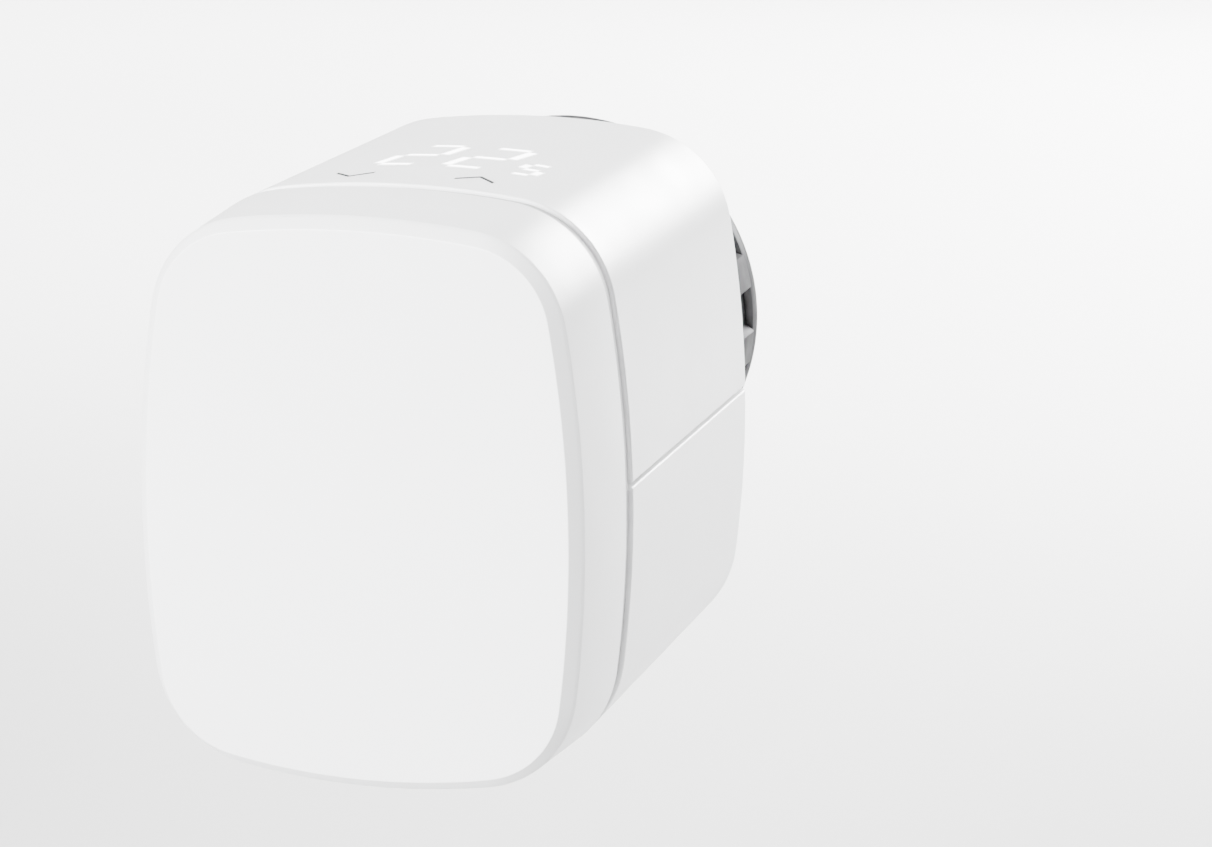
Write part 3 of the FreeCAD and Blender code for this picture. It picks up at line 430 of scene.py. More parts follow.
def moulded(name, base, roughness, grain=0.25 * MM, strength=0.12, contrast=0.03):
    """Moulded plastic: spark-eroded grain, faint colour flow and uneven gloss."""
    material, tree, shader = new_material(name, base, roughness)
    flow = add_noise(tree, 14.0 * MM, 2.0)
    colour = add_ramp(tree, flow, shade(base, 1.0 - contrast), shade(base, 1.0 + contrast))
    tree.links.new(colour, shader.inputs["Base Color"])
    gloss = add_noise(tree, 6.0 * MM, 3.0)
    tree.links.new(add_range(tree, gloss, roughness - 0.035, roughness + 0.035), shader.inputs["Roughness"])
    add_bump(tree, shader, add_noise(tree, grain, 2.0), strength, 0.01 * MM)
    return material


def machined(name, base, roughness, stretch=(1.0, 40.0, 1.0), contrast=0.10):
    """Turned or drawn metal: fine lines one way, uneven gloss."""
    material, tree, shader = new_material(name, base, roughness, 1.0)
    lines = add_noise(tree, 1.2 * MM, 4.0, stretch)
    colour = add_ramp(tree, lines, shade(base, 1.0 - contrast), shade(base, 1.0 + contrast * 0.5))
    tree.links.new(colour, shader.inputs["Base Color"])
    wear = add_noise(tree, 5.0 * MM, 5.0)
    tree.links.new(add_range(tree, wear, roughness * 0.8, roughness * 1.25), shader.inputs["Roughness"])
    add_bump(tree, shader, lines, 0.08, 0.01 * MM)
    return material


def shade_darkened_nickel():
    """Plated coupling metal darkened as painted shade: a base colour far below nickel and a damped edge
    reflection.
    """
    # Painted shade: the 0.08 base colour and the 0.42 specular tint stand for the shade the coupling sits
    # in, not for the colour of plated nickel.
    material = machined("shade_darkened_nickel", (0.08, 0.08, 0.082), 0.5, (1.0, 1.0, 1.0), 0.06)
    shader = material.node_tree.nodes["Principled BSDF"]
    shader.inputs["Specular Tint"].default_value = (0.42, 0.42, 0.42, 1.0)
    return material


def white_satin():
    material = moulded("white_satin_plastic", (0.80, 0.805, 0.81), 0.34, 0.22 * MM, 0.05, 0.006)
    shader = material.node_tree.nodes["Principled BSDF"]
    shader.inputs["IOR"].default_value = 1.49
    return material


def cell_sleeve():
    """Printed shrink sleeve: slate body with a copper band at the positive end."""
    material, tree, shader = new_material("cell_sleeve", (0.03, 0.04, 0.055), 0.28)
    coords = tree.nodes.new("ShaderNodeTexCoord")
    split = tree.nodes.new("ShaderNodeSeparateXYZ")
    tree.links.new(coords.outputs["Object"], split.inputs["Vector"])
    band = tree.nodes.new("ShaderNodeMapRange")
    band_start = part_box("battery_left")[1].y - 16.2 * MM
    band.inputs["From Min"].default_value = band_start
    band.inputs["From Max"].default_value = band_start + 0.2 * MM
    tree.links.new(split.outputs["Y"], band.inputs["Value"])
    printed = add_ramp(tree, band.outputs["Result"], (0.030, 0.042, 0.060), (0.42, 0.17, 0.055), 0.0, 1.0)
    flow = add_ramp(tree, add_noise(tree, 3.0 * MM, 3.0), (0.88, 0.88, 0.88), (1.0, 1.0, 1.0))
    tint = tree.nodes.new("ShaderNodeVectorMath")
    tint.operation = "MULTIPLY"
    tree.links.new(printed, tint.inputs[0])
    tree.links.new(flow, tint.inputs[1])
    tree.links.new(tint.outputs["Vector"], shader.inputs["Base Color"])
    gloss = add_range(tree, add_noise(tree, 5.0 * MM, 4.0), 0.22, 0.34)
    tree.links.new(gloss, shader.inputs["Roughness"])
    add_bump(tree, shader, add_noise(tree, 2.5 * MM, 3.0), 0.25, 0.03 * MM)
    return material


def glow_material():
    """Light coming through the housing skin: bright in a stroke's middle, soft at its edge."""
    material, tree, shader = new_material("display_glow", (0.80, 0.805, 0.81), 0.34)
    glow = tree.nodes.new("ShaderNodeAttribute")
    glow.attribute_name = "glow"
    uneven = add_range(tree, add_noise(tree, 1.6 * MM, 2.0), 0.9, 1.05)
    level = tree.nodes.new("ShaderNodeMath")
    level.operation = "MULTIPLY"
    tree.links.new(glow.outputs["Fac"], level.inputs[0])
    tree.links.new(uneven, level.inputs[1])
    power = tree.nodes.new("ShaderNodeMath")
    power.operation = "MULTIPLY"
    power.inputs[1].default_value = 9.0
    tree.links.new(level.outputs[0], power.inputs[0])
    shader.inputs["Emission Color"].default_value = (1.0, 1.0, 1.0, 1.0)
    tree.links.new(power.outputs[0], shader.inputs["Emission Strength"])
    return material


# Shells


def rolled_edge(y_flat, radius, way, steps=8):
    """(y, inset) points of an edge rolled over a quarter circle, away from the flat side."""
    points = []
    for i in range(1, steps + 1):
        angle = math.pi / 2.0 * i / steps
        points.append((y_flat + way * radius * math.sin(angle), radius * (1.0 - math.cos(angle))))
    return points


def mix_rings(first, second, share):
    return [a.lerp(b, share) for a, b in zip(first, second)]


def bend(before, corner, after, steps=6):
    """Rows that round one edge with a quadratic curve from before, past corner, to after."""
    rows = []
    for i in range(steps + 1):
        t = i / steps
        rows.append([
            a * (1.0 - t) ** 2 + b * 2.0 * t * (1.0 - t) + c * t**2
            for a, b, c in zip(before, corner, after)
        ])
    return rows


def front_edges():
    """Rings of the face edge and the bevel corner, with the bevel's slant length."""
    face = body_ring(FRONT_Y, FACE_INSET, "all", FACE_CORNER_TRIM)
    corner = body_ring(FRONT_Y + BEVEL_DEPTH, BEVEL_INSET)
    return face, corner, math.hypot(BEVEL_DEPTH, FACE_INSET - BEVEL_INSET)


def build_front_panel(material):
    face, corner, slant = front_edges()
    back = FRONT_Y + BEVEL_DEPTH
    inner = body_ring(FRONT_Y, FACE_INSET + FACE_EDGE_REACH, "all", FACE_CORNER_TRIM)
    field = body_ring(FRONT_Y, FACE_INSET + 4.0 * FACE_EDGE_REACH, "all", FACE_CORNER_TRIM)
    rows = [field] + bend(inner, face, mix_rings(face, corner, FACE_EDGE_REACH / slant))
    lip = mix_rings(face, corner, 1.0 - (PANEL_JOINT + PANEL_GAP) / slant)
    rows.append(lip)
    rows.append([Vector((v.x, back, v.z)) for v in lip])
    bm, verts = rings_to_bmesh(rows, True)
    bm.faces.new(verts[0])
    bm.faces.new(verts[-1])
    obj = add_object("face_plate", bm, "head", material)
    sharpen(obj, SHELL_SHARP_ANGLE)
    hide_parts("front_panel")


def build_front_ring(material):
    face, corner, slant = front_edges()
    flat_end = RING_REAR_Y - RING_ROUND
    side = body_ring(flat_end, 0.0)
    side_length = flat_end - FRONT_Y - BEVEL_DEPTH
    lip = mix_rings(face, corner, 1.0 - PANEL_JOINT / slant)
    rows = [[Vector((v.x, RING_FRONT_Y, v.z)) for v in lip], lip]
    rows += bend(
        mix_rings(face, corner, 1.0 - CORNER_REACH / slant),
        corner,
        mix_rings(corner, side, CORNER_REACH / side_length),
    )
    rows.append(side)
    rows += [body_ring(y, inset) for y, inset in rolled_edge(flat_end, RING_ROUND, 1.0)]
    shelf_y = RING_FRONT_Y + RING_LIP
    rows += [
        body_ring(RING_REAR_Y, WALL),
        body_ring(shelf_y, WALL),
        body_ring(shelf_y, WINDOW_INSET),
        body_ring(RING_FRONT_Y, WINDOW_INSET),
    ]
    rows.append(rows[0])
    bm, _ = rings_to_bmesh(rows, True)
    bmesh.ops.remove_doubles(bm, verts=bm.verts, dist=WELD_GAP)
    obj = add_object("front_band", bm, "head", material)
    sharpen(obj, SHELL_SHARP_ANGLE)
    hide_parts("front_ring")


def hole_arc(bm, part, seam_z, y, steps=40):
    """Edge of the neck hole at one side of the side seam, from the outline's end to its start."""
    half_angle = math.asin(seam_z / NECK_HOLE_R)
    start, end = half_angle, math.pi - half_angle
    if part == "lower":
        start, end = math.pi - half_angle, 2.0 * math.pi + half_angle
    angles = [start + (end - start) * i / steps for i in range(steps + 1)]
    return [bm.verts.new((NECK_HOLE_R * math.cos(a), y, NECK_HOLE_R * math.sin(a))) for a in angles]


def rear_shell(name, part, node, body, material):
    """Half of the rear housing as one closed shell with rolled edges and the neck hole."""
    inner_rear = REAR_Y - REAR_WALL
    front_edge = rolled_edge(REAR_BODY_Y + SHELL_ROUND, SHELL_ROUND, -1.0)
    chain = [(inner_rear, WALL), (REAR_BODY_Y, WALL)] + front_edge[::-1]
    chain += [(REAR_BODY_Y + SHELL_ROUND, 0.0), (REAR_Y - REAR_ROUND, 0.0)]
    chain += rolled_edge(REAR_Y - REAR_ROUND, REAR_ROUND, 1.0)
    bm, rows = rings_to_bmesh([body_ring(y, inset, part) for y, inset in chain], False)
    seam_z = rows[-1][0].co.z
    outer_arc = hole_arc(bm, part, seam_z, REAR_Y)
    inner_arc = hole_arc(bm, part, seam_z, inner_rear)
    bm.faces.new(rows[-1] + outer_arc)
    bm.faces.new(rows[0] + inner_arc)
    for i in range(len(outer_arc) - 1):
        bm.faces.new((outer_arc[i], outer_arc[i + 1], inner_arc[i + 1], inner_arc[i]))
    bm.faces.new([row[-1] for row in rows] + [outer_arc[0], inner_arc[0]])
    bm.faces.new([row[0] for row in rows] + [outer_arc[-1], inner_arc[-1]])
    obj = add_object(name, bm, body, material)
    bevel(obj, SEAM_ROUND if part == "upper" else COVER_SEAM_ROUND, 4, 50.0)
    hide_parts(node)
    return obj


def build_seam_tongue(material):
    """Lip of the upper housing that stands behind the side seam."""
    bm = bmesh.new()
    levels = [SEAM_UP + TONGUE_RISE - i * TONGUE_STEP for i in range(TONGUE_LEVELS)]
    side_x = HALF_W - SIDE_R
    for side in (-1.0, 1.0):
        columns = []
        for inset in TONGUE_INSETS:
            for y in (REAR_BODY_Y + TONGUE_FRONT_GAP, REAR_Y - TONGUE_REAR_GAP):
                column = []
                for z in levels:
                    radius = SIDE_R - inset
                    x = side_x + math.sqrt(radius**2 - (z + SIDE_DROP) ** 2)
                    column.append(bm.verts.new((side * x, y, BODY_Z + z)))
                columns.append(column)
        outer_front, outer_rear, inner_front, inner_rear = columns
        for a, b in ((outer_front, outer_rear), (outer_rear, inner_rear), (inner_rear, inner_front),
                     (inner_front, outer_front)):
            for i in range(len(levels) - 1):
                bm.faces.new((a[i], b[i], b[i + 1], a[i + 1]))
        bm.faces.new((outer_front[0], inner_front[0], inner_rear[0], outer_rear[0]))
        bm.faces.new((outer_front[-1], outer_rear[-1], inner_rear[-1], inner_front[-1]))
    obj = add_object("housing_seam_tongue", bm, "head", material)
    bevel(obj, 0.1 * MM, 2)


def build_housing_inside(material):
    """Display bosses and ceiling ribs of the upper housing."""
    bm = bmesh.new()
    for x in (-BOSS_X, BOSS_X):
        for y in BOSS_Y:
            add_post(bm, x, y, BOSS_Z, BOSS_FOOT_R, BOSS_TIP_R, BOSS_BORE_R)
    for x, top in CEILING_RIBS:
        low = (x - CEILING_RIB_HALF_W, CEILING_RIB_Y[0], CEILING_RIB_LOW_Z)
        add_box(bm, low, (x + CEILING_RIB_HALF_W, CEILING_RIB_Y[1], top))
    obj = add_object("housing_bosses_and_ribs", bm, "head", material)
    bevel(obj, 0.12 * MM, 2)


def build_cover_details(cover, material):
    """Thumb grooves under the cover and the two hooks inside it."""
    bm = bmesh.new()
    for index in range(GROOVE_COUNT):
        y = GROOVE_FIRST_Y - GROOVE_PITCH * index
        add_box(bm, (-GROOVE_HALF_LENGTH, y, GROOVE_Z[0]), (GROOVE_HALF_LENGTH, y + GROOVE_W, GROOVE_Z[1]))
    carve(cover, bm)
    sharpen(cover, SHELL_SHARP_ANGLE)
    bm = bmesh.new()
    stem = (HOOK_STEM_X, HOOK_STEM_Y, HOOK_STEM_Z)
    tip = (HOOK_TIP_X, HOOK_TIP_Y, HOOK_TIP_Z)
    for side in (-1.0, 1.0):
        for (near, far), (y0, y1), (z0, z1) in (stem, tip):
            left, right = sorted((side * near, side * far))
            add_box(bm, (left, y0, z0), (right, y1, z1))
    hooks = add_object("cover_hooks", bm, "cover", material)
    bevel(hooks, 0.15 * MM, 2)


# Cells and contacts

# Profiles are (radius, depth from the cell's flat end) in millimetres.
CELL_CAN = [
    (0.001, 0.0), (5.9, 0.0), (6.2, 0.12), (6.3, 0.5), (7.1, 1.0), (7.1, 48.2), (6.5, 48.8),
    (5.6, 49.0), (3.5, 49.05), (2.95, 49.15), (2.75, 49.4), (2.72, 50.2), (2.55, 50.5), (0.001, 50.5),
]
CELL_SKIN = [
    (6.35, 0.52), (6.9, 0.56), (7.15, 0.75), (7.25, 1.1), (7.25, 48.0), (7.15, 48.5), (6.8, 48.85),
    (6.2, 49.02), (5.7, 49.08), (5.7, 49.0), (6.4, 48.7), (7.1, 47.9), (7.1, 1.2), (6.35, 0.7),
]
MARK_RAISE = 0.03 * MM
BAR_ANGLES = (-108.0, -72.0)
STEM_ANGLES = (-93.2, -86.8)
BAR_W = 0.8 * MM
STEM_LENGTH = 1.9 * MM
PLUS_DEPTH = 7.2 * MM
MINUS_DEPTH = 6.0 * MM
COIL_WIRE_R = 0.24 * MM
COIL_TURNS = 3.5
COIL_STEPS = 36
COIL_BASE_R = 3.1 * MM
COIL_TAPER = 0.9 * MM
PLATE_T = 0.3
PLATE_HALF_W = 3.6
PLATE_BELOW = 3.4
PLATE_ABOVE = 4.2


def add_patch(bm, centre, radius, angles, depths, steps=6):
    """Thin raised mark on a cell's sleeve, between two angles and two depths."""
    rows = []
    for depth in depths:
        row = []
        for i in range(steps + 1):
            angle = math.radians(angles[0] + (angles[1] - angles[0]) * i / steps)
            row.append(bm.verts.new((
                centre[0] + radius * math.cos(angle), depth, centre[1] + radius * math.sin(angle))))
        rows.append(row)
    for i in range(steps):
        bm.faces.new((rows[0][i], rows[0][i + 1], rows[1][i + 1], rows[1][i]))


def build_cell(side, sleeve, steel, ink):
    node = "battery_" + side
    low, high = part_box(node)
    centre = ((low.x + high.x) / 2.0, (low.z + high.z) / 2.0)
    radius = (high.x - low.x) / 2.0
    front, rear = low.y, high.y
    bm = lathe([(r * MM, front + y * MM) for r, y in CELL_CAN], 64, None, centre)
    can_obj = add_object("cell_can_" + side, bm, "head", steel)
    sharpen(can_obj, 40.0)
    bm = lathe([(r * MM, front + y * MM) for r, y in CELL_SKIN], 96, None, centre)
    sleeve_obj = add_object("cell_sleeve_" + side, bm, "head", sleeve)
    sharpen(sleeve_obj, 40.0)
    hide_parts(node)
    bm = bmesh.new()
    face = radius + MARK_RAISE
    plus_front = rear - PLUS_DEPTH
    plus_rear = plus_front + BAR_W
    minus_front = front + MINUS_DEPTH
    add_patch(bm, centre, face, BAR_ANGLES, (plus_front, plus_rear))
    add_patch(bm, centre, face, STEM_ANGLES, (plus_front - STEM_LENGTH, plus_front))
    add_patch(bm, centre, face, STEM_ANGLES, (plus_rear, plus_rear + STEM_LENGTH))
    add_patch(bm, centre, face, BAR_ANGLES, (minus_front, minus_front + BAR_W))
    add_object("cell_marks_" + side, bm, "head", ink)


def build_contact_springs(material):
    """Each plate and its conical coil against the flat end of a cell."""
    low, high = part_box("spring_contacts")
    bm = bmesh.new()
    plate_front = low.y / MM
    for side in ("left", "right"):
        cell_low, cell_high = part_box("battery_" + side)
        x = (cell_low.x + cell_high.x) / 2.0
        z = (cell_low.z + cell_high.z) / 2.0
        plate_low = (x / MM - PLATE_HALF_W, plate_front, z / MM - PLATE_BELOW)
        add_box(bm, plate_low, (x / MM + PLATE_HALF_W, plate_front + PLATE_T, z / MM + PLATE_ABOVE))
        start = low.y + PLATE_T * MM + COIL_WIRE_R
        reach = high.y - COIL_WIRE_R - start
        path = []
        steps = int(COIL_TURNS * COIL_STEPS)
        for i in range(steps + 1):
            share = i / steps
            angle = 2.0 * math.pi * COIL_TURNS * share
            coil_r = COIL_BASE_R - COIL_TAPER * share
            depth = start + reach * smooth_step(share)
            path.append(Vector((x + coil_r * math.cos(angle), depth, z + coil_r * math.sin(angle))))
        add_wire(bm, path, COIL_WIRE_R)
    obj = add_object("contact_springs", bm, "head", material)
    sharpen(obj, 40.0)
    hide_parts("spring_contacts")


# Display


def stroke(bm, layer, start, end, width, halo):
    """One glowing bar on the top surface: a bright core and a rim that fades out."""
    axis = Vector((end[0] - start[0], end[1] - start[1]))
    length = axis.length
    axis.normalize()
    side = Vector((-axis.y, axis.x))
    offsets = [(-halo - width / 2, 0.0), (-width / 2, STROKE_EDGE_GLOW), (-width / 4, 1.0), (0.0, 1.0),
               (width / 4, 1.0), (width / 2, STROKE_EDGE_GLOW), (halo + width / 2, 0.0)]
    along = [(-halo, 0.0), (0.0, STROKE_EDGE_GLOW), (width / 4, 1.0)]
    steps = 4
    inner = length - width / 2
    along += [(width / 4 + inner * i / steps, 1.0) for i in range(1, steps + 1)]
    along += [(length, STROKE_EDGE_GLOW), (length + halo, 0.0)]
    grid = []
    for distance, level in along:
        row = []
        for offset, across in offsets:
            x = start[0] + axis.x * distance + side.x * offset
            y = start[1] + axis.y * distance + side.y * offset
            vert = bm.verts.new((x, FRONT_Y + y, top_surface_z(x) + MARK_LIFT * (0.4 + min(level, across))))
            vert[layer] = min(level, across)
            row.append(vert)
        grid.append(row)
    for lower, upper in zip(grid, grid[1:]):
        for i in range(len(lower) - 1):
            bm.faces.new((lower[i], lower[i + 1], upper[i + 1], upper[i]))


def segment_ends(letter, width, height, inset):
    """End points of a seven-segment bar, across and along from the digit's near left corner."""
    half = height / 2.0
    table = {
        "a": ((inset, height), (width - inset, height)),
        "b": ((width, height - inset), (width, half + inset)),
        "c": ((width, half - inset), (width, inset)),
        "d": ((inset, 0.0), (width - inset, 0.0)),
        "e": ((0.0, inset), (0.0, half - inset)),
        "f": ((0.0, half + inset), (0.0, height - inset)),
        "g": ((inset, half), (width - inset, half)),
    }
    return table[letter]


def build_digits(material):
    for name, x0, y0, width, height, slant, weight, lit in DIGITS:
        bm = bmesh.new()
        layer = bm.verts.layers.float.new("glow")
        bar = SEGMENT_W * weight
        for letter in lit:
            ends = segment_ends(letter, width, height, bar * SEGMENT_GAP)
            start, end = [(x0 + u + slant * v, y0 + v) for u, v in ends]
            stroke(bm, layer, start, end, bar * CORE_SHARE, bar * HALO_SHARE)
        add_object(name, bm, "head", material)


def build_arrows(material):
    for name, x0, y0, rise in ARROWS:
        bm = bmesh.new()
        points = [(x0 - ARROW_HALF_W, y0), (x0, y0 + rise), (x0 + ARROW_HALF_W, y0)]
        half = ARROW_LINE_W / 2.0
        slope = math.atan2(abs(rise), ARROW_HALF_W)
        drop = half / math.cos(slope)
        path = []
        for (xa, ya), (xb, yb) in zip(points, points[1:]):
            shares = [i / ARROW_STEPS for i in range(ARROW_STEPS)]
            path += [(xa + (xb - xa) * share, ya + (yb - ya) * share) for share in shares]
        path.append(points[-1])
        rows = []
        for x, y in path:
            row = []
            for offset, lift in ((-drop, 0.0), (-drop * 0.7, 1.0), (drop * 0.7, 1.0), (drop, 0.0)):
                z = top_surface_z(x) + MARK_LIFT * (0.3 + lift)
                row.append(bm.verts.new((x, FRONT_Y + y + offset, z)))
            rows.append(row)
        for near, far in zip(rows, rows[1:]):
            for i in range(3):
                bm.faces.new((near[i], near[i + 1], far[i + 1], far[i]))
        add_object(name, bm, "head", material)


# Coupling

GRIP_R = 25.2 * MM
GRIP_VALLEY_R = 23.9 * MM
GRIP_RIBS = 16
GRIP_PHASE = math.radians(15.0)
GRIP_STEPS = GRIP_RIBS * 24
RIB_TOP = 0.20
RIB_FOOT = 0.30
RIB_END_GAP = 0.12 * MM
COLLAR_Y = 6.4 * MM
COLLAR_R = 24.9 * MM
GRIP_BORE_R = 18.0 * MM
REAR_GROOVE_OUTER_R = 21.0 * MM
REAR_GROOVE_INNER_R = 19.6 * MM
REAR_GROOVE_FLOOR_Y = 2.0 * MM
REAR_GROOVE_CHAMFER = 0.2 * MM
GRIP_SHARP_ANGLE = 38.0
THREAD_CREST_R = 14.25 * MM
THREAD_ROOT_R = 15.04 * MM
THREAD_PITCH = 1.5 * MM
THREAD_START = 1.1 * MM
THREAD_TURNS = 4.6
THREAD_STEPS = 72
THREAD_FADE_STEPS = 24.0
THREAD_LOWEST = 0.02
THREAD_ROOT_HALF = 0.31 * THREAD_PITCH
THREAD_CREST_HALF = 0.06 * THREAD_PITCH


def rib_radius(radius, y, angle):
    """Rows in front of the collar follow the ribs."""
    if radius < GRIP_VALLEY_R + 0.01 * MM or y > COLLAR_Y - RIB_END_GAP:
        return radius
    share = ((angle - GRIP_PHASE) * GRIP_RIBS / (2.0 * math.pi) + 0.5) % 1.0 - 0.5
    rise = 1.0 - smooth_step((abs(share) - RIB_TOP) / (RIB_FOOT - RIB_TOP))
    return GRIP_VALLEY_R + (radius - GRIP_VALLEY_R) * rise


def build_grip_ring(material):
    front = GRIP_LOW.y
    rear = GRIP_HIGH.y
    rib_end = COLLAR_Y - 2.0 * RIB_END_GAP
    profile = [
        (GRIP_BORE_R, front),
        (GRIP_VALLEY_R - 0.3 * MM, front),
        (GRIP_R - 0.35 * MM, front),
        (GRIP_R - 0.1 * MM, front + 0.1 * MM),
        (GRIP_R, front + 0.35 * MM),
        (GRIP_R, rib_end - 0.3 * MM),
        (GRIP_R - 0.1 * MM, rib_end - 0.1 * MM),
        (GRIP_R - 0.3 * MM, rib_end),
        (GRIP_VALLEY_R, rib_end),
        (GRIP_VALLEY_R, COLLAR_Y),
        (COLLAR_R - 0.25 * MM, COLLAR_Y),
        (COLLAR_R - 0.07 * MM, COLLAR_Y + 0.08 * MM),
        (COLLAR_R, COLLAR_Y + 0.25 * MM),
        (COLLAR_R, rear - 0.5 * MM),
        (COLLAR_R - 0.12 * MM, rear - 0.2 * MM),
        (COLLAR_R - 0.4 * MM, rear),
        (REAR_GROOVE_OUTER_R + REAR_GROOVE_CHAMFER, rear),
        (REAR_GROOVE_OUTER_R, rear - REAR_GROOVE_CHAMFER),
        (REAR_GROOVE_OUTER_R, REAR_GROOVE_FLOOR_Y),
        (REAR_GROOVE_INNER_R, REAR_GROOVE_FLOOR_Y),
        (REAR_GROOVE_INNER_R, rear - REAR_GROOVE_CHAMFER),
        (REAR_GROOVE_INNER_R - REAR_GROOVE_CHAMFER, rear),
        (GRIP_BORE_R, rear),
    ]
    bm = lathe(profile, GRIP_STEPS, rib_radius)
    obj = add_object("coupling_grip", bm, "coupling", material)
    sharpen(obj, GRIP_SHARP_ANGLE)
    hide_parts("grip_ring")


def build_nut_thread(material):
    """The M30 x 1.5 ridge inside the union nut."""
    steps = int(THREAD_TURNS * THREAD_STEPS)
    bm = bmesh.new()
    rows = []
    for i in range(steps + 1):
        turned = THREAD_TURNS * i / steps
        angle = 2.0 * math.pi * turned
        fade = min(1.0, i / THREAD_FADE_STEPS, (steps - i) / THREAD_FADE_STEPS)
        tip_r = THREAD_ROOT_R + (THREAD_CREST_R - THREAD_ROOT_R) * max(fade, THREAD_LOWEST)
        y = THREAD_START + THREAD_PITCH * turned
        section = [
            (THREAD_ROOT_R, y - THREAD_ROOT_HALF),
            (tip_r, y - THREAD_CREST_HALF),
            (tip_r, y + THREAD_CREST_HALF),
            (THREAD_ROOT_R, y + THREAD_ROOT_HALF),
        ]
        row = []
        for radius, depth in section:
            row.append(bm.verts.new((radius * math.cos(angle), depth, radius * math.sin(angle))))
        rows.append(row)
    for near, far in zip(rows, rows[1:]):
        for i in range(3):
            bm.faces.new((near[i], near[i + 1], far[i + 1], far[i]))
        bm.faces.new((near[3], near[0], far[0], far[3]))
    bm.faces.new(rows[0])
    bm.faces.new(rows[-1])
    obj = add_object("union_nut_thread", bm, "coupling", material)
    sharpen(obj, 30.0)


# CAD nodes

NODE_WELD = 0.0005 * MM
NODE_SHARP_ANGLE = 28.0


def dress_cad_nodes(palette):
    """Every carried-over CAD node gets its slot's finish and clean shading."""
    slots = {entry["node"]: entry["material_slot"] for entry in frame["record"]["subparts"]}
    for name, node in nodes.items():
        node.data.materials.clear()
        node.data.materials.append(palette[slots[name]])
        for polygon in node.data.polygons:
            polygon.use_smooth = True
        weld = node.modifiers.new("weld", "WELD")
        weld.merge_threshold = NODE_WELD
        sharpen(node, NODE_SHARP_ANGLE)


def make_palette():
    return {
        "white_satin": white_satin(),
        "frame_plastic": moulded("grey_frame_plastic", (0.55, 0.55, 0.56), 0.55, 0.3 * MM, 0.25, 0.15),
        "tray_plastic": moulded("tray_plastic", (0.018, 0.018, 0.020), 0.5, 0.3 * MM, 0.25, 0.15),
        "cell_sleeve": cell_sleeve(),
        "spring_steel": machined("plated_spring_steel", (0.70, 0.70, 0.67), 0.25),
        "gearbox_plastic": moulded("gearbox_plastic", (0.42, 0.43, 0.43), 0.5, 0.3 * MM, 0.3, 0.06),
        "gear_acetal": moulded("natural_acetal", (0.72, 0.70, 0.62), 0.38, 0.5 * MM, 0.08, 0.04),
        "gear_acetal_dark": moulded("blue_grey_acetal", (0.05, 0.10, 0.17), 0.38, 0.5 * MM, 0.08, 0.08),
        "steel": machined("ground_steel", (0.60, 0.60, 0.60), 0.28),
        "brass": machined("turned_brass", (0.72, 0.50, 0.20), 0.27),
        "nickel": shade_darkened_nickel(),
        "bearing_polymer": moulded("bearing_polymer", (0.70, 0.66, 0.55), 0.42, 0.4 * MM, 0.1, 0.05),
        "motor_steel": machined("drawn_motor_steel", (0.62, 0.62, 0.60), 0.33),
        "motor_plastic": moulded("motor_plastic", (0.74, 0.74, 0.70), 0.45),
        "magnet": moulded("ferrite", (0.02, 0.02, 0.022), 0.6, 0.2 * MM, 0.4, 0.2),
        "lamination": machined("lamination_stack", (0.30, 0.30, 0.31), 0.42, (1.0, 0.2, 1.0), 0.3),
        "copper": machined("enamelled_copper", (0.60, 0.24, 0.09), 0.30, (8.0, 1.0, 8.0), 0.35),
        "board": moulded("green_board", (0.008, 0.075, 0.035), 0.32, 0.6 * MM, 0.15, 0.25),
        "board_white": moulded("white_board", (0.72, 0.73, 0.71), 0.34, 0.6 * MM, 0.12, 0.03),
        "chip": moulded("chip_epoxy", (0.008, 0.008, 0.009), 0.45, 0.15 * MM, 0.3, 0.2),
        "shield": machined("tinned_shield", (0.66, 0.66, 0.64), 0.32),
        "capacitor": moulded("capacitor_sleeve", (0.02, 0.024, 0.04), 0.3),
        "led": moulded("phosphor_chip", (0.80, 0.78, 0.60), 0.3, 0.2 * MM, 0.2, 0.1),
        "guide_white": moulded("light_box_plastic", (0.86, 0.86, 0.86), 0.5),
        "foam": moulded("conductive_foam", (0.06, 0.06, 0.065), 0.8, 0.35 * MM, 0.8, 0.3),
        "polyimide": moulded("polyimide_film", (0.55, 0.22, 0.03), 0.25, 1.0 * MM, 0.1, 0.15),
        "wire": moulded("wire_insulation", (0.50, 0.02, 0.015), 0.4, 0.5 * MM, 0.1, 0.1),
        "sensor": moulded("sensor_epoxy", (0.01, 0.01, 0.011), 0.25),
    }


# Floor, light and camera

STAGE_HALF = 3.0
FLOOR_Z = -0.105
BACKDROP_Y = 1.6
BACKDROP_TOP = 3.0
COVE_R = 0.5
COVE_STEPS = 12


def build_stage():
    """Floor that curves up into the backdrop."""
    bm = bmesh.new()
    cove_y = BACKDROP_Y - COVE_R
    profile = [(-STAGE_HALF, FLOOR_Z), (cove_y, FLOOR_Z)]
    for i in range(1, COVE_STEPS + 1):
        angle = math.pi / 2.0 * i / COVE_STEPS
        profile.append((cove_y + COVE_R * math.sin(angle), FLOOR_Z + COVE_R * (1.0 - math.cos(angle))))
    profile.append((BACKDROP_Y, BACKDROP_TOP))
    rows = [[bm.verts.new((x, y, z)) for x in (-STAGE_HALF, STAGE_HALF)] for y, z in profile]
    for near, far in zip(rows, rows[1:]):
        bm.faces.new((near[0], near[1], far[1], far[0]))
    mesh = bpy.data.meshes.new("studio_floor")
    bm.to_mesh(mesh)
    bm.free()
    for polygon in mesh.polygons:
        polygon.use_smooth = True
    floor = bpy.data.objects.new("studio_floor", mesh)
    bpy.context.scene.collection.objects.link(floor)
    material, tree, shader = new_material("pale_floor", (0.62, 0.62, 0.62), 0.8)
    colour = add_ramp(tree, add_noise(tree, 0.4), (0.61, 0.61, 0.61), (0.63, 0.63, 0.63))
    tree.links.new(colour, shader.inputs["Base Color"])
    floor.data.materials.append(material)


LIGHT_CENTRE = Vector((0.0, -0.04, 0.0))


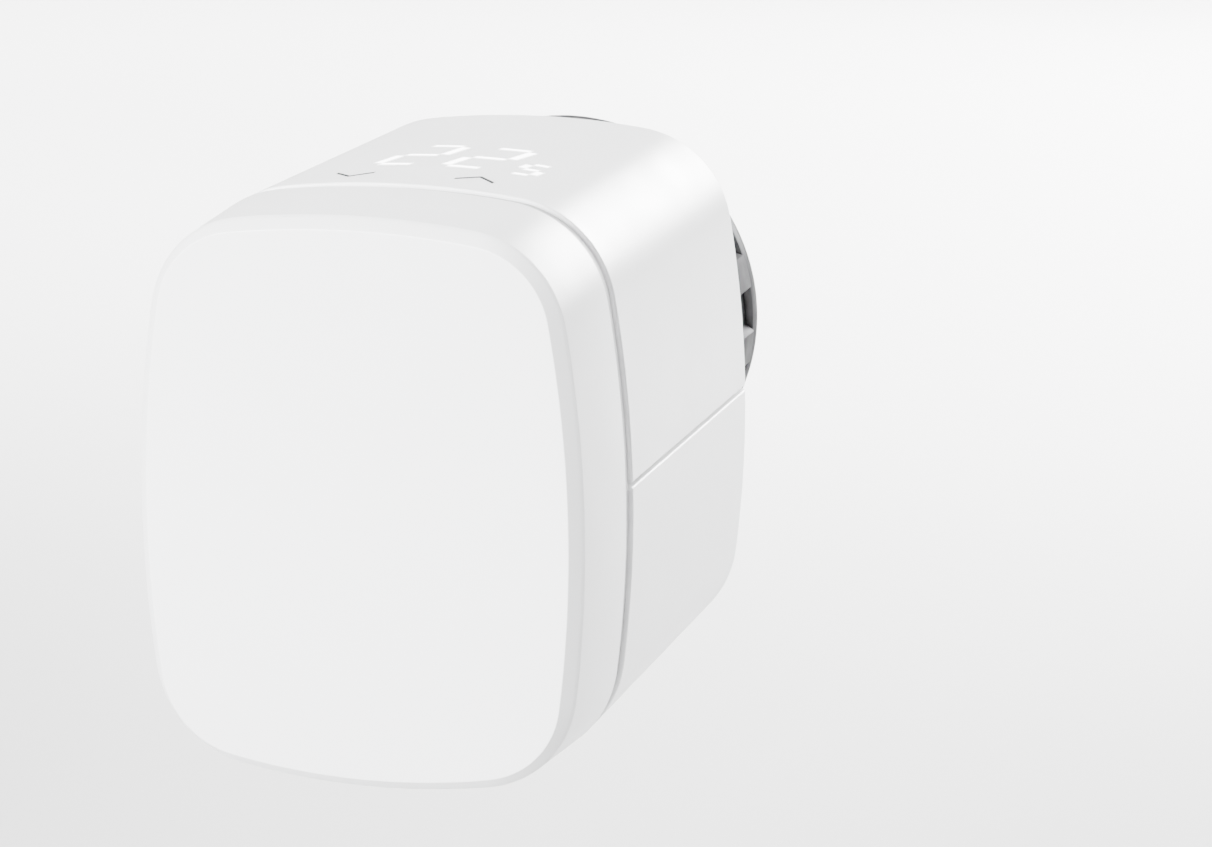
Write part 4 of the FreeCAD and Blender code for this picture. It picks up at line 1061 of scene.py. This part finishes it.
def direction(azimuth, elevation):
    """Unit vector; azimuth 0 is the room side, growing toward the right, in degrees."""
    turn, rise = math.radians(azimuth), math.radians(elevation)
    return Vector((math.sin(turn) * math.cos(rise), -math.cos(turn) * math.cos(rise), math.sin(rise)))


def area_light(name, location, target, size, power, spread=180.0):
    data = bpy.data.lights.new(name, "AREA")
    data.shape = "RECTANGLE"
    data.size, data.size_y = size
    data.energy = power
    data.spread = math.radians(spread)
    light = bpy.data.objects.new(name, data)
    light.location = location
    light.rotation_mode = "QUATERNION"
    light.rotation_quaternion = (Vector(target) - Vector(location)).to_track_quat("-Z", "Y")
    light.visible_camera = False
    bpy.context.scene.collection.objects.link(light)


def lamp(name, azimuth, elevation, distance, size, power, spread=180.0):
    location = LIGHT_CENTRE + direction(azimuth, elevation) * distance
    area_light(name, location, LIGHT_CENTRE, size, power, spread)


def build_light():
    world = bpy.data.worlds.new("soft_room")
    bpy.context.scene.world = world
    world.use_nodes = True
    background = world.node_tree.nodes["Background"]
    background.inputs["Color"].default_value = (1.0, 1.0, 1.0, 1.0)
    background.inputs["Strength"].default_value = 0.05
    lamp("key_front", -24.0, 17.0, 0.42, (0.30, 0.20), 1.55, 50.0)
    lamp("soft_upper_front", -10.0, 60.0, 1.0, (0.6, 0.4), 6.0)
    lamp("soft_top", 20.0, 82.0, 1.0, (0.5, 0.5), 7.0)
    lamp("soft_right_back", 140.0, 20.0, 0.9, (0.4, 0.4), 14.0)
    lamp("corner_shine", 166.0, 17.0, 1.2, (0.5, 0.4), 50.0)
    area_light("backdrop_wash", (-0.2, 0.35, 0.9), (-0.3, 1.6, 0.45), (1.2, 0.5), 55.0, 90.0)
    area_light("floor_wash", (0.1, 0.72, 0.75), (0.1, 0.72, -0.1), (2.4, 0.9), 46.0, 50.0)


CAMERA_AIM = Vector((25.9 * MM, -60.6 * MM, 2.65 * MM))
CAMERA_AZIMUTH = math.radians(17.127)
CAMERA_ELEVATION = math.radians(14.077)
CAMERA_ROLL = math.radians(-0.185)
CAMERA_DISTANCE = 401.8 * MM
CAMERA_LENS = 108.49


def build_camera():
    data = bpy.data.cameras.new("photo_camera")
    data.lens = CAMERA_LENS
    data.sensor_width = 36.0
    data.clip_start = 0.01
    data.clip_end = 50.0
    back = Vector((
        math.sin(CAMERA_AZIMUTH) * math.cos(CAMERA_ELEVATION),
        -math.cos(CAMERA_AZIMUTH) * math.cos(CAMERA_ELEVATION),
        math.sin(CAMERA_ELEVATION),
    ))
    camera = bpy.data.objects.new("photo_camera", data)
    camera.location = CAMERA_AIM + back * CAMERA_DISTANCE
    camera.rotation_mode = "QUATERNION"
    level = (-back).to_track_quat("-Z", "Y")
    roll = Matrix.Rotation(CAMERA_ROLL, 4, "Z").to_quaternion()
    camera.rotation_quaternion = level @ roll
    bpy.context.scene.collection.objects.link(camera)
    bpy.context.scene.camera = camera


def main():
    palette = make_palette()
    dress_cad_nodes(palette)
    white = palette["white_satin"]
    build_front_panel(white)
    build_front_ring(white)
    rear_shell("rear_upper_shell", "upper", "upper_housing", "head", white)
    cover = rear_shell("rear_battery_cover", "lower", "battery_cover", "cover", white)
    build_cover_details(cover, white)
    build_housing_inside(white)
    build_seam_tongue(white)
    ink = moulded("grey_mark_ink", (0.02, 0.02, 0.022), 0.7)
    ink.node_tree.nodes["Principled BSDF"].inputs["Specular IOR Level"].default_value = 0.1
    pale_ink = moulded("pale_mark_ink", (0.75, 0.75, 0.74), 0.35)
    for side in ("left", "right"):
        build_cell(side, palette["cell_sleeve"], palette["steel"], pale_ink)
    build_contact_springs(palette["spring_steel"])
    build_digits(glow_material())
    build_arrows(ink)
    build_grip_ring(palette["nickel"])
    build_nut_thread(palette["nickel"])
    build_stage()
    build_light()
    build_camera()


main()
